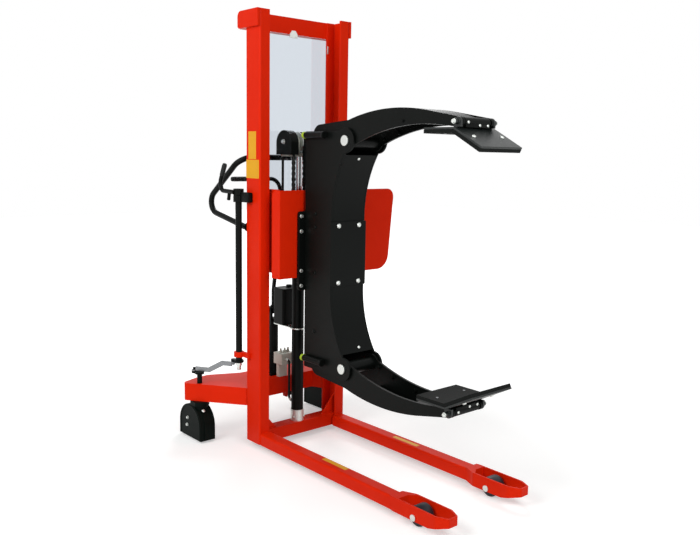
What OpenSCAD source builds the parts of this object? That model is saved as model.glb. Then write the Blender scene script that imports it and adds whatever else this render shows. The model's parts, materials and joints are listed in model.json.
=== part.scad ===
// Manual reel stacker: a hand-moved mast truck whose carriage holds a rotating
// reel clamp. +Z is up and +X points along the support legs. Every shape is
// placed from the middle of the mast's front face at floor level, then moved by
// `origin`, so that the finished machine stands on the centre of its footprint.

/* [Mast] */
// Height of the mast above the floor
mast_h = 1990; // [1900:10:2300]
// Outside width across the two uprights
mast_w = 511; // [505:1:540]
// Depth of the upright channels, front to back
channel_d = 109; // [107:1:114]
// Width of the channel flanges
flange_w = 54; // [50:1:58]
// Thickness of the channel flanges
flange_t = 10; // [8:0.5:11]
// Thickness of the channel web
web_t = 8; // [6:0.5:9]
// Height of the frame's underside above the floor
base_z = 27; // [24:1:32]
// Height of the base crossbar
crossbar_h = 58; // [54:1:62]
// Height of the top beam and its cheeks
cap_h = 75; // [65:1:90]
// How far the top beam reaches behind the uprights
cap_back = 48; // [40:1:56]
// Thickness of the top beam's cheeks
cap_t = 12; // [8:1:14]
// Thickness of the clear guard panel
panel_t = 4; // [3:0.5:6]
// Height of the guard panel's lower edge above the floor
panel_z = 1100; // [1085:5:1200]

/* [Legs] */
// Distance from the mast front to the leg tips
leg_len = 1152; // [1130:1:1250]
// Width of a leg
leg_w = 64; // [60:1:66]
// Height of a leg
leg_h = 52; // [48:1:56]
// Radius of the leg's upper edges
leg_r = 11; // [8:1:14]
// Length of the wheel housing at a leg tip
housing_len = 282; // [270:1:300]
// Width of the wheel housing
housing_w = 92; // [88:1:96]
// Height of the wheel housing
housing_h = 57; // [55:1:60]
// Diameter of a load wheel
load_wheel_d = 80; // [76:1:82]
// Width of a load wheel
load_wheel_w = 56; // [50:1:60]
// Diameter of a load wheel axle
load_axle_d = 20; // [16:1:22]

/* [Rear deck and casters] */
// Height of the deck skirt's lower edge above the floor
deck_z = 192; // [190:1:200]
// Height of the deck skirt
deck_h = 84; // [80:1:88]
// Plate thickness of the deck
deck_t = 6; // [5:1:7]
// Diameter of a caster wheel
caster_wheel_d = 150; // [144:1:152]
// Width of a caster wheel
caster_wheel_w = 46; // [40:1:50]
// Width of a caster's foot guard
guard_w = 79; // [76:1:82]
// Radius of a caster's domed foot guard
guard_r = 98; // [94:1:100]
// How far a caster wheel trails behind its swivel axis
caster_trail = 26; // [24:1:32]

/* [Lift] */
// Outside diameter of the lift cylinder barrel
barrel_d = 58; // [54:1:60]
// Height of the barrel's top above the floor
barrel_top = 1080; // [1050:5:1100]
// Diameter of the lift piston rod
rod_d = 32; // [28:1:34]
// Height of the chain wheel axle above the floor
yoke_z = 1424; // [1420:1:1440]
// Pitch radius of the chain wheel
chain_r = 42; // [41:0.5:43]
// Outside diameter of the clamp hose
hose_d = 12; // [10:0.5:13]

/* [Carriage] */
// Height of the rotation axis above the floor
axis_z = 938; // [930:1:950]
// Distance between the upper and lower carriage rollers
roller_pitch = 300; // [290:1:320]
// Width of a carriage roller
roller_w = 30; // [26:1:32]
// Height of the front shield above the rotation axis
shield_up = 271; // [262:1:285]
// Depth of the front shield below the rotation axis
shield_down = 122; // [120:1:130]
// Near edge of the shield, measured from the machine's centre
shield_near = 224; // [215:1:235]
// Far edge of the shield, measured from the machine's centre
shield_far = 470; // [466:1:490]
// Distance from the rotation axis to the handwheel shaft
handwheel_y = 374; // [370:1:380]
// Radius of the handwheel rim
handwheel_r = 80; // [70:1:84]

/* [Clamp] */
// Distance between the two arm pivot pins
pin_gap = 978; // [966:2:1000]
// Distance from the mast front to the arm pivot pins
pin_x = 392; // [388:1:400]
// Diameter of the arm pivot pins
pin_d = 36; // [32:1:38]
// Half width of the clamp column
column_half = 97; // [95:0.5:102]
// Depth of the clamp column at its waist
column_d = 182; // [178:1:188]
// Half height of the column's straight waist
waist = 160; // [154:1:166]
// Reach from an arm's pivot pin to its pad pivot
arm_reach = 613; // [605:1:625]
// Outward offset of the pad pivot from the arm's pivot pin
arm_rise = 66; // [64:0.5:70]
// Angle by which the lower arm is bent toward the reel against the upper one
lower_bend = 2.5; // [0:0.5:4]
// Half width of a clamp pad
pad_half = 115; // [112:1:122]
// Length of each wing of a pad
wing_len = 148; // [140:1:152]
// Angle by which a pad's front wing bends toward the reel
wing_fold = 28; // [24:1:32]
// Thickness of a pad's steel plate
pad_t = 8; // [6:0.5:9]
// Thickness of a pad's rubber face
rubber_t = 14; // [10:1:16]

/* [Handles] */
// Tube diameter of the push handle
handle_d = 30; // [26:1:31]
// Height of the push handle's top bar above the floor
handle_z = 1351; // [1340:1:1370]
// Distance from the mast front back to the push handle's rearmost centre line
handle_back = 428; // [420:1:440]
// Tube diameter of the pump lever
lever_d = 24; // [20:1:28]
// Height of the pump lever's grip above the floor
grip_z = 1245; // [1225:1:1260]
// Diameter of the steering column
column_dia = 30; // [26:1:32]

/* [Hidden] */
$fn = 48;
running = 0.05;
half_w = mast_w / 2;
inner_y = half_w - web_t;
// Legs and load wheels
leg_y = half_w - 4 - leg_w / 2;
leg_wall = 6;
housing_t = 7;
housing_x = leg_len - housing_len;
housing_y = half_w - housing_w / 2;
wheel_x = leg_len - 157;
nose_half = 23;
// Rear deck: the deck's sides run from the uprights out to the rear corners
deck_top = deck_z + deck_h;
deck_corner = [-370, 450];
deck_half = [[-165, 180], [-channel_d, half_w - 50], [-channel_d, half_w], deck_corner,
             [-407, 350], [-415, 279], [-388, 215], [-352, 130]];
deck_radii = [0, 0, 0, 20, 60, 30, 60, 40];
swivel = [-316, 384];
kingpin_r = 12;
caster_x = swivel.x - caster_trail;
caster_z = caster_wheel_d / 2;
steer_arm = [-31, -11];
column_top_z = 1206;
collar_z = 1178.3;
// The steering lever's corners, as distance from the column and height
lever_corners = [[0, 1193], [-106, 1196], [-116, 1236], [-76, 1318]];
lever_stub = [-38, 1186];
link_eye_r = 13;
link_t = 7;
link_h = 22;
pin_r = 6;
steer_arm_z = 340;
column_low_z = 398;
steer = [-138, half_w + 21];
pedal_hub = [-215, 80, 168];
// Lift
cyl_x = -50;
foot_z = base_z + crossbar_h;
barrel_z = foot_z + 6;
bore_r = barrel_d / 2 - 6;
chain_t = 9;
chain_w = 18;
sheave_y = -62;
strand_x = [cyl_x - chain_r, cyl_x + chain_r];
fixed_anchor_z = 1000;
load_anchor_z = axis_z - 32;
yoke_base_z = yoke_z - 66;
axle_r = 10;
// Carriage
roller_r = channel_d / 2 - flange_t - 0.3;
roller_x = -channel_d / 2;
roller_y = inner_y - 3 - roller_w;
lower_roller_z = axis_z - 68;
upper_roller_z = lower_roller_z + roller_pitch;
roller_axle_r = 14;
side_y = half_w - 80;
side_t = 12;
face_x = 40;
face_t = 12;
case_x = face_x + face_t;
shield_t = 4;
shield_x = 104;
case_d = shield_x - case_x;
hub_r = 60;
big_sprocket_r = 100;
small_sprocket_r = 20;
sprocket_x = case_x + 16;
sprocket_t = 8;
shaft_r = 10;
handwheel_x = -35;
// Clamp
flange_x = shield_x + shield_t + 3;
flange_plate_t = 14;
flange_size = [130, 178];
column_x = flange_x + flange_plate_t;
column_front = column_x + column_d;
pin_rise = pin_gap / 2;
pin_z = [axis_z - pin_rise, axis_z + pin_rise];
pin_boss_r = 52;
flare_r = 500;
cheek_t = 9;
cheek_in = column_half - cheek_t;
skin_t = 8;
skin_half = pin_rise - 59;
column_end = pin_rise + 41;
arm_t = 10;
arm_half = cheek_in - 3;
arm_hub_r = 42;
arm_tail = [-180, 20];
arm_tail_r = 50;
arm_outer = [285, 126, 980];
arm_inner = [430, 61, 1000];
arm_tip_r = 18;
arm_bolts = [55, 139, 278];
boss_t = 12;
sleeve_r = 28;
arm_pad_gap = 20;
tail_pin_r = 15;
port_r = 14;
port_len = 130;
plug_len = 14;
pad_pin_r = 10;
ram_r = 38;
ram_bore_r = 30;
ram_rod_r = 20;
ram_len = 560;
ram_rod_len = 720;
// Handles
handle_y = half_w - 12.5;
handle_foot = [-channel_d - 30, -handle_y, 1034];
handle_bend = 53;
// The knee's corner lies outside the bent tube, behind its rearmost centre line
handle_knee = [-handle_back - 1.42 * handle_bend, -handle_y, 1104];
handle_top = [-170, -handle_y, handle_z];
handle_path = concat(
  [[-channel_d, -handle_y, handle_foot.z], handle_foot, handle_knee, handle_top],
  [for (p = [handle_top, handle_knee, handle_foot]) [p.x, handle_y, p.z]],
  [[-channel_d, handle_y, handle_foot.z]]);
handle_bends = [60, handle_bend, 70, 70, handle_bend, 60];
tank_at = [-162, 18];
tank_size = [86, 106];
tank_h = 178;
shelf_z = 539;
shelf_t = 6;
pump_x = -250;
pump_top = 560;
lever_hub = [pump_x, 0, pump_top + 40];
grip_x = -330;
grip_y = [95, -190];
crank_z = [700, 980];
shield_outline = rounded([
  [-shield_near, axis_z - shield_down], [shield_far - 37, axis_z - shield_down],
  [shield_far, axis_z + shield_up], [-shield_near, axis_z + shield_up]], [0, 72, 40, 0]);
// Where the finished machine stands: its footprint reaches from the push handle to
// the leg tips, and from the deck's near corner to the far edge of the shield
x_min = min([for (s = path_stations(handle_path, handle_bends)) s[0].x - handle_d / 2 * abs(s[1].z)]);
y_min = min([for (p = deck_outline(0)) p.y]);
y_max = max([for (p = shield_outline) p.x]);
origin = [-(x_min + leg_len) / 2, -(y_min + y_max) / 2, 0];

red = "#d8301c";
black = "#1b1e1d";
zinc = "#a9adaa";
grey = "#b4b3a9";
rubber = "#242625";

// Plane geometry
function unit(v) = v / norm(v);
function left_of(v) = [-v.y, v.x];
function turned(v, a) = [v.x * cos(a) - v.y * sin(a), v.x * sin(a) + v.y * cos(a)];
function prev(i, n) = (i + n - 1) % n;
function next(i, n) = (i + 1) % n;

// The arc that replaces corner b of a polygon, as a list of points
function corner_arc(a, b, c, r, steps) =
  let (u = unit(b - a), v = unit(c - b),
       turn = atan2(u.x * v.y - u.y * v.x, u * v),
       start = b - u * r * tan(abs(turn) / 2),
       centre = start + left_of(u) * r * sign(turn))
  r == 0 ? [b] : [for (k = [0:steps]) centre + turned(start - centre, turn * k / steps)];

// A polygon's points with each corner rounded by its own radius
function rounded(pts, radii, steps = 6) =
  let (n = len(pts))
  [for (i = [0:n - 1])
    each corner_arc(pts[prev(i, n)], pts[i], pts[next(i, n)], radii[i], steps)];

// A polygon's points moved inward by d, for points listed anticlockwise
function inset(pts, d) =
  let (n = len(pts))
  [for (i = [0:n - 1])
    let (u = left_of(unit(pts[i] - pts[prev(i, n)])),
         v = left_of(unit(pts[next(i, n)] - pts[i])))
    pts[i] + (u + v) * d / (1 + u * v)];

// Heights of an arm's outer and inner edges at distance x from its pivot pin
function edge_z(edge, x) = edge[1] - edge[2] + sqrt(pow(edge[2], 2) - pow(x - edge[0], 2));

// Flat plates: drawn in the XZ or YZ plane, then given a thickness
module plate_xz(y, t) {
  translate([0, y + t, 0]) rotate([90, 0, 0]) linear_extrude(t) children();
}

module plate_yz(x, t) {
  translate([x, 0, 0]) rotate([90, 0, 90]) linear_extrude(t) children();
}

module both_sides() {
  children();
  mirror([0, 1, 0]) children();
}

// Round bars along X and Y, from the point given toward plus
module bar_x(at, r, length) {
  translate(at) rotate([0, 90, 0]) cylinder(r = r, h = length);
}

module bar_y(at, r, length) {
  translate(at) rotate([-90, 0, 0]) cylinder(r = r, h = length);
}

// A block given by its two opposite corners
module block(low, high) {
  translate(low) cube(high - low);
}

// A rectangle with round corners, centred
module round_rect(w, h, r) {
  square([w - 2 * r, h], center = true);
  square([w, h - 2 * r], center = true);
  for (x = [-1, 1], y = [-1, 1]) translate([x * (w / 2 - r), y * (h / 2 - r)]) circle(r);
}

// The belt-shaped outline around two circles on the horizontal axis. Its straight
// runs lie a hair inside the common tangents, so that they cross the circles.
module belt(r1, r2, distance) {
  a = acos((r1 - r2) / distance);
  s1 = r1 - running;
  s2 = r2 - running;
  circle(r1);
  translate([distance, 0]) circle(r2);
  polygon([s1 * [cos(a), sin(a)], s1 * [cos(a), -sin(a)],
           [distance, 0] + s2 * [cos(a), -sin(a)], [distance, 0] + s2 * [cos(a), sin(a)]]);
}

// Stations along a path whose inner corners are bent: each is a point with the
// direction of travel there
function bend_stations(a, b, c, r, steps) =
  let (u = unit(b - a), v = unit(c - b), turn = acos(u * v), side = unit(v - u * (u * v)),
       centre = b - u * r * tan(turn / 2) + side * r)
  [for (k = [0:steps]) let (t = turn * k / steps)
    [centre + r * (u * sin(t) - side * cos(t)), u * cos(t) + side * sin(t)]];

function path_stations(pts, bends, steps = 5) =
  let (last = len(pts) - 1)
  [[pts[0], unit(pts[1] - pts[0])],
   for (i = [1:last - 1]) each bend_stations(pts[i - 1], pts[i], pts[i + 1], bends[i - 1], steps),
   [pts[last], unit(pts[last] - pts[last - 1])]];

// A direction square to each station's travel, carried along without twisting
function carried(stations, i = 0, u = undef) =
  let (w = stations[i][1],
       start = u == undef ? cross(w, abs(w.z) < 0.9 ? [0, 0, 1] : [1, 0, 0]) : u,
       square = unit(start - w * (start * w)))
  i == len(stations) - 1 ? [square] : [square, each carried(stations, i + 1, square)];

// A round tube along the path, with the given number of sides
module bent_tube(pts, bends, r, sides = 12) {
  stations = path_stations(pts, bends);
  across = carried(stations);
  rings = len(stations);
  points = [for (i = [0:rings - 1], k = [0:sides - 1])
    let (u = across[i], v = cross(stations[i][1], u), a = 360 * k / sides)
    stations[i][0] + r * (u * cos(a) + v * sin(a))];
  walls = [for (i = [0:rings - 2], k = [0:sides - 1])
    let (p = i * sides + k, q = i * sides + next(k, sides))
    each [[p, q, q + sides], [p, q + sides, p + sides]]];
  first = [for (k = [sides - 1:-1:0]) k];
  final = [for (k = [0:sides - 1]) (rings - 1) * sides + k];
  polyhedron(points, [for (f = concat(walls, [first, final])) [for (i = [len(f) - 1:-1:0]) f[i]]]);
}

// A hexagon bolt head with its washer, standing on a face toward +Z
module bolt_head(size) {
  cylinder(r = size, h = size * 0.2);
  translate([0, 0, size * 0.2]) cylinder(r = size * 0.86, h = size * 0.6, $fn = 6);
}

// Mast
module upright() {
  difference() {
    block([-channel_d, half_w - flange_w, base_z], [0, half_w, mast_h]);
    block([flange_t - channel_d, half_w - flange_w - 1, base_z - 1], [-flange_t, inner_y, mast_h + 1]);
  }
}

module right_upright() {
  translate(origin) color(red) mirror([0, 1, 0]) upright();
}

module left_upright() {
  translate(origin) color(red) upright();
}

module top_beam() {
  back = channel_d + cap_back;
  low = mast_h - cap_h;
  wall = 6;
  translate(origin) color(red) {
    both_sides() plate_xz(half_w, cap_t)
      polygon(rounded([[-back, low], [0, low], [0, mast_h], [-back, mast_h]], [14, 0, 0, 24]));
    difference() {
      block([-back, -half_w, low], [-channel_d, half_w, mast_h]);
      block([wall - back, -half_w + wall, low + wall], [-channel_d - wall, half_w - wall, mast_h + 1]);
    }
  }
}

module guard_panel() {
  translate(origin) color("#d8dce0")
    block([-channel_d - panel_t, 22 - half_w, panel_z], [-channel_d, half_w - 22, mast_h - cap_h]);
}

module guard_clips() {
  top = mast_h - cap_h;
  edge = half_w - flange_w;
  translate(origin) color(zinc) {
    plate_yz(-channel_d, 3) translate([8, top])
      polygon([[-22, -16], [22, -16], [22, 2], [10, 18], [-10, 18], [-22, 2]]);
    for (y = [-6, 22]) bar_x([3 - channel_d, y, top - 8], 5, 4);
    block([flange_t - channel_d, edge, top - 70], [flange_t + 3 - channel_d, edge + 10, top - 34]);
  }
}

module base_crossbar() {
  wall = 8;
  front = -13;
  back = -84;
  translate(origin) color(red) {
    difference() {
      block([back, -inner_y, base_z], [front, inner_y, foot_z]);
      block([back + wall, -inner_y - 1, base_z - 1], [front - wall, inner_y + 1, foot_z - wall]);
    }
    both_sides() plate_yz(-42, 10)
      polygon([[inner_y, foot_z], [inner_y, foot_z + 105], [inner_y - 30, foot_z + 90], [140, foot_z]]);
  }
}

module leg_section(cut) {
  w = leg_w - 2 * cut;
  h = leg_h - cut;
  r = leg_r - cut / 2;
  translate([-w / 2, -cut]) square([w, h - r + cut]);
  translate([r - w / 2, -cut]) square([w - 2 * r, h + cut]);
  for (y = [r - w / 2, w / 2 - r]) translate([y, h - r]) circle(r);
}

module housing_outline() {
  low = half_w - housing_w;
  leg_in = leg_y - leg_w / 2;
  difference() {
    polygon(rounded([
      [housing_x, leg_in], [housing_x + 55, low], [leg_len - 47, low], [leg_len, housing_y - nose_half],
      [leg_len, housing_y + nose_half], [leg_len - 47, half_w], [housing_x + 14, half_w],
      [housing_x, leg_y + leg_w / 2]], [0, 25, 40, 6, 6, 40, 0, 0]));
    polygon([
      [housing_x + 40, leg_in + 11], [housing_x + 62, low + housing_t], [leg_len - 50, low + housing_t],
      [leg_len - housing_t, housing_y - nose_half + 4], [leg_len - housing_t, housing_y + nose_half - 4],
      [leg_len - 50, half_w - housing_t], [housing_x + 40, half_w - housing_t]]);
  }
}

module leg() {
  top = base_z + housing_h;
  axle_z = load_wheel_d / 2;
  difference() {
    union() {
      difference() {
        translate([0, leg_y, base_z]) plate_yz(0, housing_x) leg_section(0);
        translate([leg_wall, leg_y, base_z]) plate_yz(0, housing_x - leg_wall) leg_section(leg_wall);
      }
      translate([0, 0, base_z]) linear_extrude(housing_h) housing_outline();
    }
    bar_y([wheel_x, 0, axle_z], load_axle_d / 2, half_w + 1);
    // The nose's underside rises toward the tip
    translate([leg_len - 82, 0, base_z]) rotate([0, -15, 0]) translate([0, 0, -60])
      cube([140, half_w + 1, 60]);
  }
}

module right_leg() {
  translate(origin) color(red) mirror([0, 1, 0]) leg();
}

module left_leg() {
  translate(origin) color(red) leg();
}

module load_axles() {
  low = half_w - housing_w;
  translate(origin) color(zinc) both_sides() {
    bar_y([wheel_x, low, load_wheel_d / 2], load_axle_d / 2, housing_w);
    translate([wheel_x, half_w, load_wheel_d / 2]) rotate([-90, 0, 0]) cylinder(r = 13, h = 5);
    translate([wheel_x, low - 5, load_wheel_d / 2]) rotate([-90, 0, 0]) cylinder(r = 13, h = 5);
  }
}

module load_wheel() {
  difference() {
    bar_y([wheel_x, housing_y - load_wheel_w / 2, load_wheel_d / 2], load_wheel_d / 2, load_wheel_w);
    bar_y([wheel_x, 0, load_wheel_d / 2], load_axle_d / 2 + running, half_w);
  }
}

module right_load_wheel() {
  translate(origin) color(black) mirror([0, 1, 0]) load_wheel();
}

module left_load_wheel() {
  translate(origin) color(black) load_wheel();
}

// Rear deck and casters
function mirrored(pts) = [for (i = [len(pts) - 1:-1:0]) [pts[i].x, -pts[i].y]];

function deck_outline(d) = inset(rounded(
  concat(deck_half, mirrored(deck_half)),
  concat(deck_radii, [for (i = [len(deck_radii) - 1:-1:0]) deck_radii[i]])), d);

module rear_deck() {
  lug_t = 8;
  translate(origin) color(red) {
    difference() {
      union() {
        difference() {
          translate([0, 0, deck_z]) linear_extrude(deck_h) polygon(deck_outline(0));
          translate([0, 0, deck_z - 1]) linear_extrude(deck_h - deck_t + 1) polygon(deck_outline(deck_t));
        }
        both_sides() translate([swivel.x, swivel.y, deck_z]) cylinder(r = 20, h = deck_h);
      }
      both_sides() translate([swivel.x, swivel.y, deck_z - 1]) cylinder(r = kingpin_r + running, h = deck_h + 2);
    }
    // Lugs and pin that carry the foot pedal
    difference() {
      for (y = [-26 - lug_t, 26])
        plate_xz(pedal_hub.y + y, lug_t) translate([pedal_hub.x - 15, pedal_hub.z - 15])
          square([30, deck_top - deck_t - pedal_hub.z + 15]);
      bar_y([pedal_hub.x, pedal_hub.y - 50, pedal_hub.z], 7, 100);
    }
    bar_y([pedal_hub.x, pedal_hub.y - 26 - lug_t, pedal_hub.z], 7, 52 + 2 * lug_t);
  }
}

module caster_guard() {
  difference() {
    union() {
      plate_xz(swivel.y - guard_w / 2, guard_w) {
        translate([caster_x, caster_z]) circle(guard_r);
        translate([caster_x - guard_r, 10]) square([2 * guard_r, caster_z - 10]);
      }
      translate([swivel.x, swivel.y, caster_z]) cylinder(r = 38, h = deck_z - 0.5 - caster_z);
      translate([swivel.x, swivel.y, deck_z - 20]) cylinder(r = 45, h = 19.5);
    }
    plate_xz(swivel.y - guard_w / 2 + 6, guard_w - 12) {
      translate([caster_x, caster_z]) circle(guard_r - 6);
      translate([caster_x - guard_r + 6, 0]) square([2 * guard_r - 12, caster_z]);
    }
    translate([0, 0, -88]) block([caster_x - 200, 0, 0], [caster_x + 200, 600, 98]);
  }
  bar_y([caster_x, swivel.y - guard_w / 2 + 6, caster_z], axle_r, guard_w - 12);
  for (z = [caster_z - 6, caster_z + 25])
    translate([caster_x + 8, swivel.y + guard_w / 2, z]) rotate([-90, 0, 0]) cylinder(r = 6, h = 3);
  translate([caster_x + 66, swivel.y + 10, 142]) rotate([0, 42, 0]) cylinder(r = 8, h = 14);
}

module right_caster() {
  arm_t = 10;
  translate(origin) color(black) mirror([0, 1, 0]) {
    caster_guard();
    translate([swivel.x, swivel.y, deck_z - 1]) cylinder(r = kingpin_r, h = steer_arm_z - deck_z - 7);
    translate([swivel.x, swivel.y, steer_arm_z - 18]) cylinder(r = 22, h = arm_t);
    arm_end = [swivel.x + steer_arm.x, swivel.y - steer_arm.y];
    along = unit([steer_arm.x, -steer_arm.y]);
    translate([0, 0, steer_arm_z - 18]) linear_extrude(arm_t) polygon([
      [swivel.x, swivel.y] + 12 * left_of(along), [swivel.x, swivel.y] - 12 * left_of(along),
      arm_end - 12 * left_of(along), arm_end + 12 * left_of(along)]);
    translate([arm_end.x, arm_end.y, steer_arm_z - 18]) cylinder(r = 12, h = arm_t);
    translate([arm_end.x, arm_end.y, steer_arm_z - 9]) cylinder(r = pin_r, h = 18);
  }
}

module left_caster() {
  translate(origin) color(black) {
    caster_guard();
    translate([swivel.x, swivel.y, deck_z - 1]) cylinder(r = kingpin_r, h = deck_h + 14);
    translate([swivel.x, swivel.y, deck_top + 0.3]) cylinder(r = 20, h = 12);
  }
}

module caster_wheel() {
  difference() {
    bar_y([caster_x, swivel.y - caster_wheel_w / 2, caster_z], caster_wheel_d / 2, caster_wheel_w);
    bar_y([caster_x, swivel.y - 60, caster_z], axle_r + running, 120);
  }
}

module right_caster_wheel() {
  translate(origin) color(rubber) mirror([0, 1, 0]) caster_wheel();
}

module left_caster_wheel() {
  translate(origin) color(rubber) caster_wheel();
}

// Lift cylinder, chain and hose
module foot_sleeve() {
  r = barrel_d / 2;
  translate(origin) color(zinc) {
    difference() {
      translate([cyl_x, 0, foot_z]) cylinder(r = r + 3, h = 56);
      translate([cyl_x, 0, barrel_z]) cylinder(r = r, h = 60);
    }
    for (a = [50, 170, 290])
      translate([cyl_x, 0, foot_z + 20]) rotate([0, 90, a]) translate([0, 0, r + 2]) bolt_head(6);
  }
}

module lift_barrel() {
  r = barrel_d / 2;
  top = barrel_top - barrel_z;
  translate(origin) color(black) translate([cyl_x, 0, barrel_z]) rotate_extrude() polygon([
    [0, 0], [r, 0], [r, top - 22], [r + 4, top - 22], [r + 4, top], [rod_d / 2 + running, top],
    [rod_d / 2 + running, top - 40], [bore_r, top - 40], [bore_r, 12], [0, 12]]);
}

module piston_rod() {
  translate(origin) color(zinc) translate([cyl_x, 0, 0]) {
    translate([0, 0, 240]) cylinder(r = bore_r - running, h = 40);
    translate([0, 0, 240]) cylinder(r = rod_d / 2, h = yoke_base_z - 240);
  }
}

// The tank's shelf and the anchor of the fixed strands, both clamped to the barrel
module barrel_brackets() {
  r = barrel_d / 2;
  translate(origin) difference() {
    union() {
      color(zinc) block([tank_at.x - tank_size.x / 2, -30, shelf_z], [cyl_x, 30, shelf_z + shelf_t]);
      color(zinc) translate([cyl_x, 0, shelf_z]) cylinder(r = r + 8, h = shelf_t);
      color(black) block([strand_x[0] - 12, sheave_y - 14, fixed_anchor_z - 14],
                         [cyl_x, 24, fixed_anchor_z]);
    }
    translate([cyl_x, 0, 500]) cylinder(r = r, h = fixed_anchor_z);
  }
}

module fixed_strands() {
  translate(origin) {
    color(black) block([strand_x[0] - chain_t / 2, -chain_w / 2, fixed_anchor_z],
                       [strand_x[0] + chain_t / 2, chain_w / 2, yoke_z]);
    color(rubber) translate([strand_x[0], sheave_y, fixed_anchor_z])
      cylinder(r = hose_d / 2, h = yoke_z - fixed_anchor_z);
  }
}

module load_strands() {
  translate(origin) {
    color(black) block([strand_x[1] - chain_t / 2, -chain_w / 2, load_anchor_z],
                       [strand_x[1] + chain_t / 2, chain_w / 2, yoke_z]);
    color(rubber) translate([strand_x[1], sheave_y, load_anchor_z])
      cylinder(r = hose_d / 2, h = yoke_z - load_anchor_z);
  }
}

// The half turns of chain and hose that lie over the two wheels
module strand_wraps() {
  translate(origin) {
    color(black) translate([cyl_x, chain_w / 2, yoke_z]) rotate([90, 0, 0])
      rotate_extrude(angle = 180) translate([chain_r - chain_t / 2, 0]) square([chain_t, chain_w]);
    color(rubber) translate([cyl_x, sheave_y, yoke_z]) rotate([90, 0, 0])
      rotate_extrude(angle = 180) translate([chain_r, 0]) circle(hose_d / 2);
  }
}

module chain_wheels() {
  groove = chain_r - chain_t / 2 - 0.3;
  hose_groove = chain_r - hose_d / 2 - 0.3;
  translate(origin) color(zinc) {
    difference() {
      union() {
        bar_y([cyl_x, -12, yoke_z], groove, 24);
        for (y = [-12, chain_w / 2 + 0.3]) bar_y([cyl_x, y, yoke_z], chain_r + 5, 12 - chain_w / 2 - 0.3);
      }
      bar_y([cyl_x, -20, yoke_z], axle_r + running, 40);
    }
    difference() {
      union() {
        bar_y([cyl_x, sheave_y - 9, yoke_z], hose_groove, 18);
        for (y = [-9, hose_d / 2 + 0.3])
          bar_y([cyl_x, sheave_y + y, yoke_z], chain_r + 3, 9 - hose_d / 2 - 0.3);
      }
      bar_y([cyl_x, sheave_y - 20, yoke_z], axle_r + running, 40);
    }
  }
}

module yoke() {
  translate(origin) {
    color(grey) {
      block([cyl_x - 30, sheave_y - 22, yoke_base_z], [cyl_x + 30, 26, yoke_base_z + 14]);
      difference() {
        for (y = [-26, 14]) plate_xz(y, 12) {
          translate([cyl_x, yoke_z]) circle(26);
          translate([cyl_x - 26, yoke_base_z + 14]) square([52, yoke_z - yoke_base_z - 14]);
        }
        bar_y([cyl_x, -60, yoke_z], axle_r, 120);
      }
    }
    color(zinc) bar_y([cyl_x, sheave_y - 22, yoke_z], axle_r, 26 - sheave_y + 22);
  }
}

module sheave_guard_outline(cut) {
  r = chain_r + hose_d / 2 + 10 - cut;
  intersection() {
    translate([cyl_x, yoke_z - 6]) circle(r);
    translate([cyl_x - r, yoke_z - 6]) square([2 * r, r]);
  }
  translate([cyl_x - r, yoke_base_z + 7]) square([2 * r, yoke_z - yoke_base_z - 13]);
}

module sheave_guard() {
  low = sheave_y - 26;
  translate(origin) color(black) {
    difference() {
      plate_xz(low, 42) sheave_guard_outline(0);
      plate_xz(low + 4, 40) sheave_guard_outline(3);
    }
    translate([cyl_x, low, yoke_z]) rotate([90, 0, 0]) bolt_head(13);
  }
}

// Pump set
module oil_tank() {
  translate(origin) color(black) {
    translate([tank_at.x, tank_at.y, shelf_z + shelf_t]) linear_extrude(tank_h)
      round_rect(tank_size.x, tank_size.y, 12);
    translate([tank_at.x, tank_at.y + 12, shelf_z + shelf_t + tank_h]) cylinder(r = 14, h = 12);
  }
}

module valve_block() {
  translate(origin) color(grey) {
    block([-196, -36, 345], [-128, 36, 400]);
    block([-190, -24, deck_top], [-167, 24, 345]);
    for (y = [-20, 4, 24]) {
      translate([-160, y, 400]) cylinder(r = 8, h = 10, $fn = 6);
      translate([-160, y, 410]) cylinder(r = 5, h = 12);
    }
    bar_x([-128, -12, 372], 9, 10);
  }
}

module pump_body() {
  translate(origin) color(grey) difference() {
    union() {
      block([pump_x - 45, -45, deck_top], [pump_x + 45, 45, deck_top + 14]);
      translate([pump_x, 0, deck_top + 14]) cylinder(r = 24, h = pump_top - deck_top - 14);
      translate([pump_x, 0, deck_top + 14]) cylinder(r = 34, h = 90);
      for (y = [-30, 18]) plate_xz(y, 12) {
        translate([lever_hub.x, lever_hub.z]) circle(20);
        translate([lever_hub.x - 20, pump_top - 30]) square([40, 70]);
      }
    }
    bar_y([lever_hub.x, -50, lever_hub.z], axle_r, 100);
  }
  translate(origin) color(zinc) bar_y([lever_hub.x, -34, lever_hub.z], axle_r, 68);
}

module pump_lever() {
  translate(origin) color(black) {
    difference() {
      union() {
        bar_y([lever_hub.x, -17.7, lever_hub.z], 20, 35.4);
        bent_tube([[lever_hub.x, 0, lever_hub.z + 14], [lever_hub.x, 0, crank_z[0]],
                   [grip_x, grip_y[0], crank_z[1]], [grip_x, grip_y[0], grip_z],
                   [grip_x, grip_y[1], grip_z]], [60, 60, 60], lever_d / 2);
      }
      bar_y([lever_hub.x, -30, lever_hub.z], axle_r + running, 60);
    }
  }
}

module pressure_hose() {
  translate(origin) color(rubber)
    bent_tube([[-118, -12, 372], [-100, -12, 372], [-100, -12, 180], [cyl_x - barrel_d / 2, -12, 180]],
              [16, 16], 6, 8);
}

module foot_pedal() {
  translate(origin) color(black) difference() {
    union() {
      bar_y([pedal_hub.x, pedal_hub.y - 25.7, pedal_hub.z], 14, 51.4);
      block([-425, pedal_hub.y - 12, pedal_hub.z - 14], [pedal_hub.x, pedal_hub.y + 12, pedal_hub.z - 4]);
      block([-445, pedal_hub.y - 45, pedal_hub.z - 14], [-395, pedal_hub.y + 45, pedal_hub.z - 2]);
    }
    bar_y([pedal_hub.x, pedal_hub.y - 60, pedal_hub.z], 7 + running, 120);
  }
}

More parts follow.
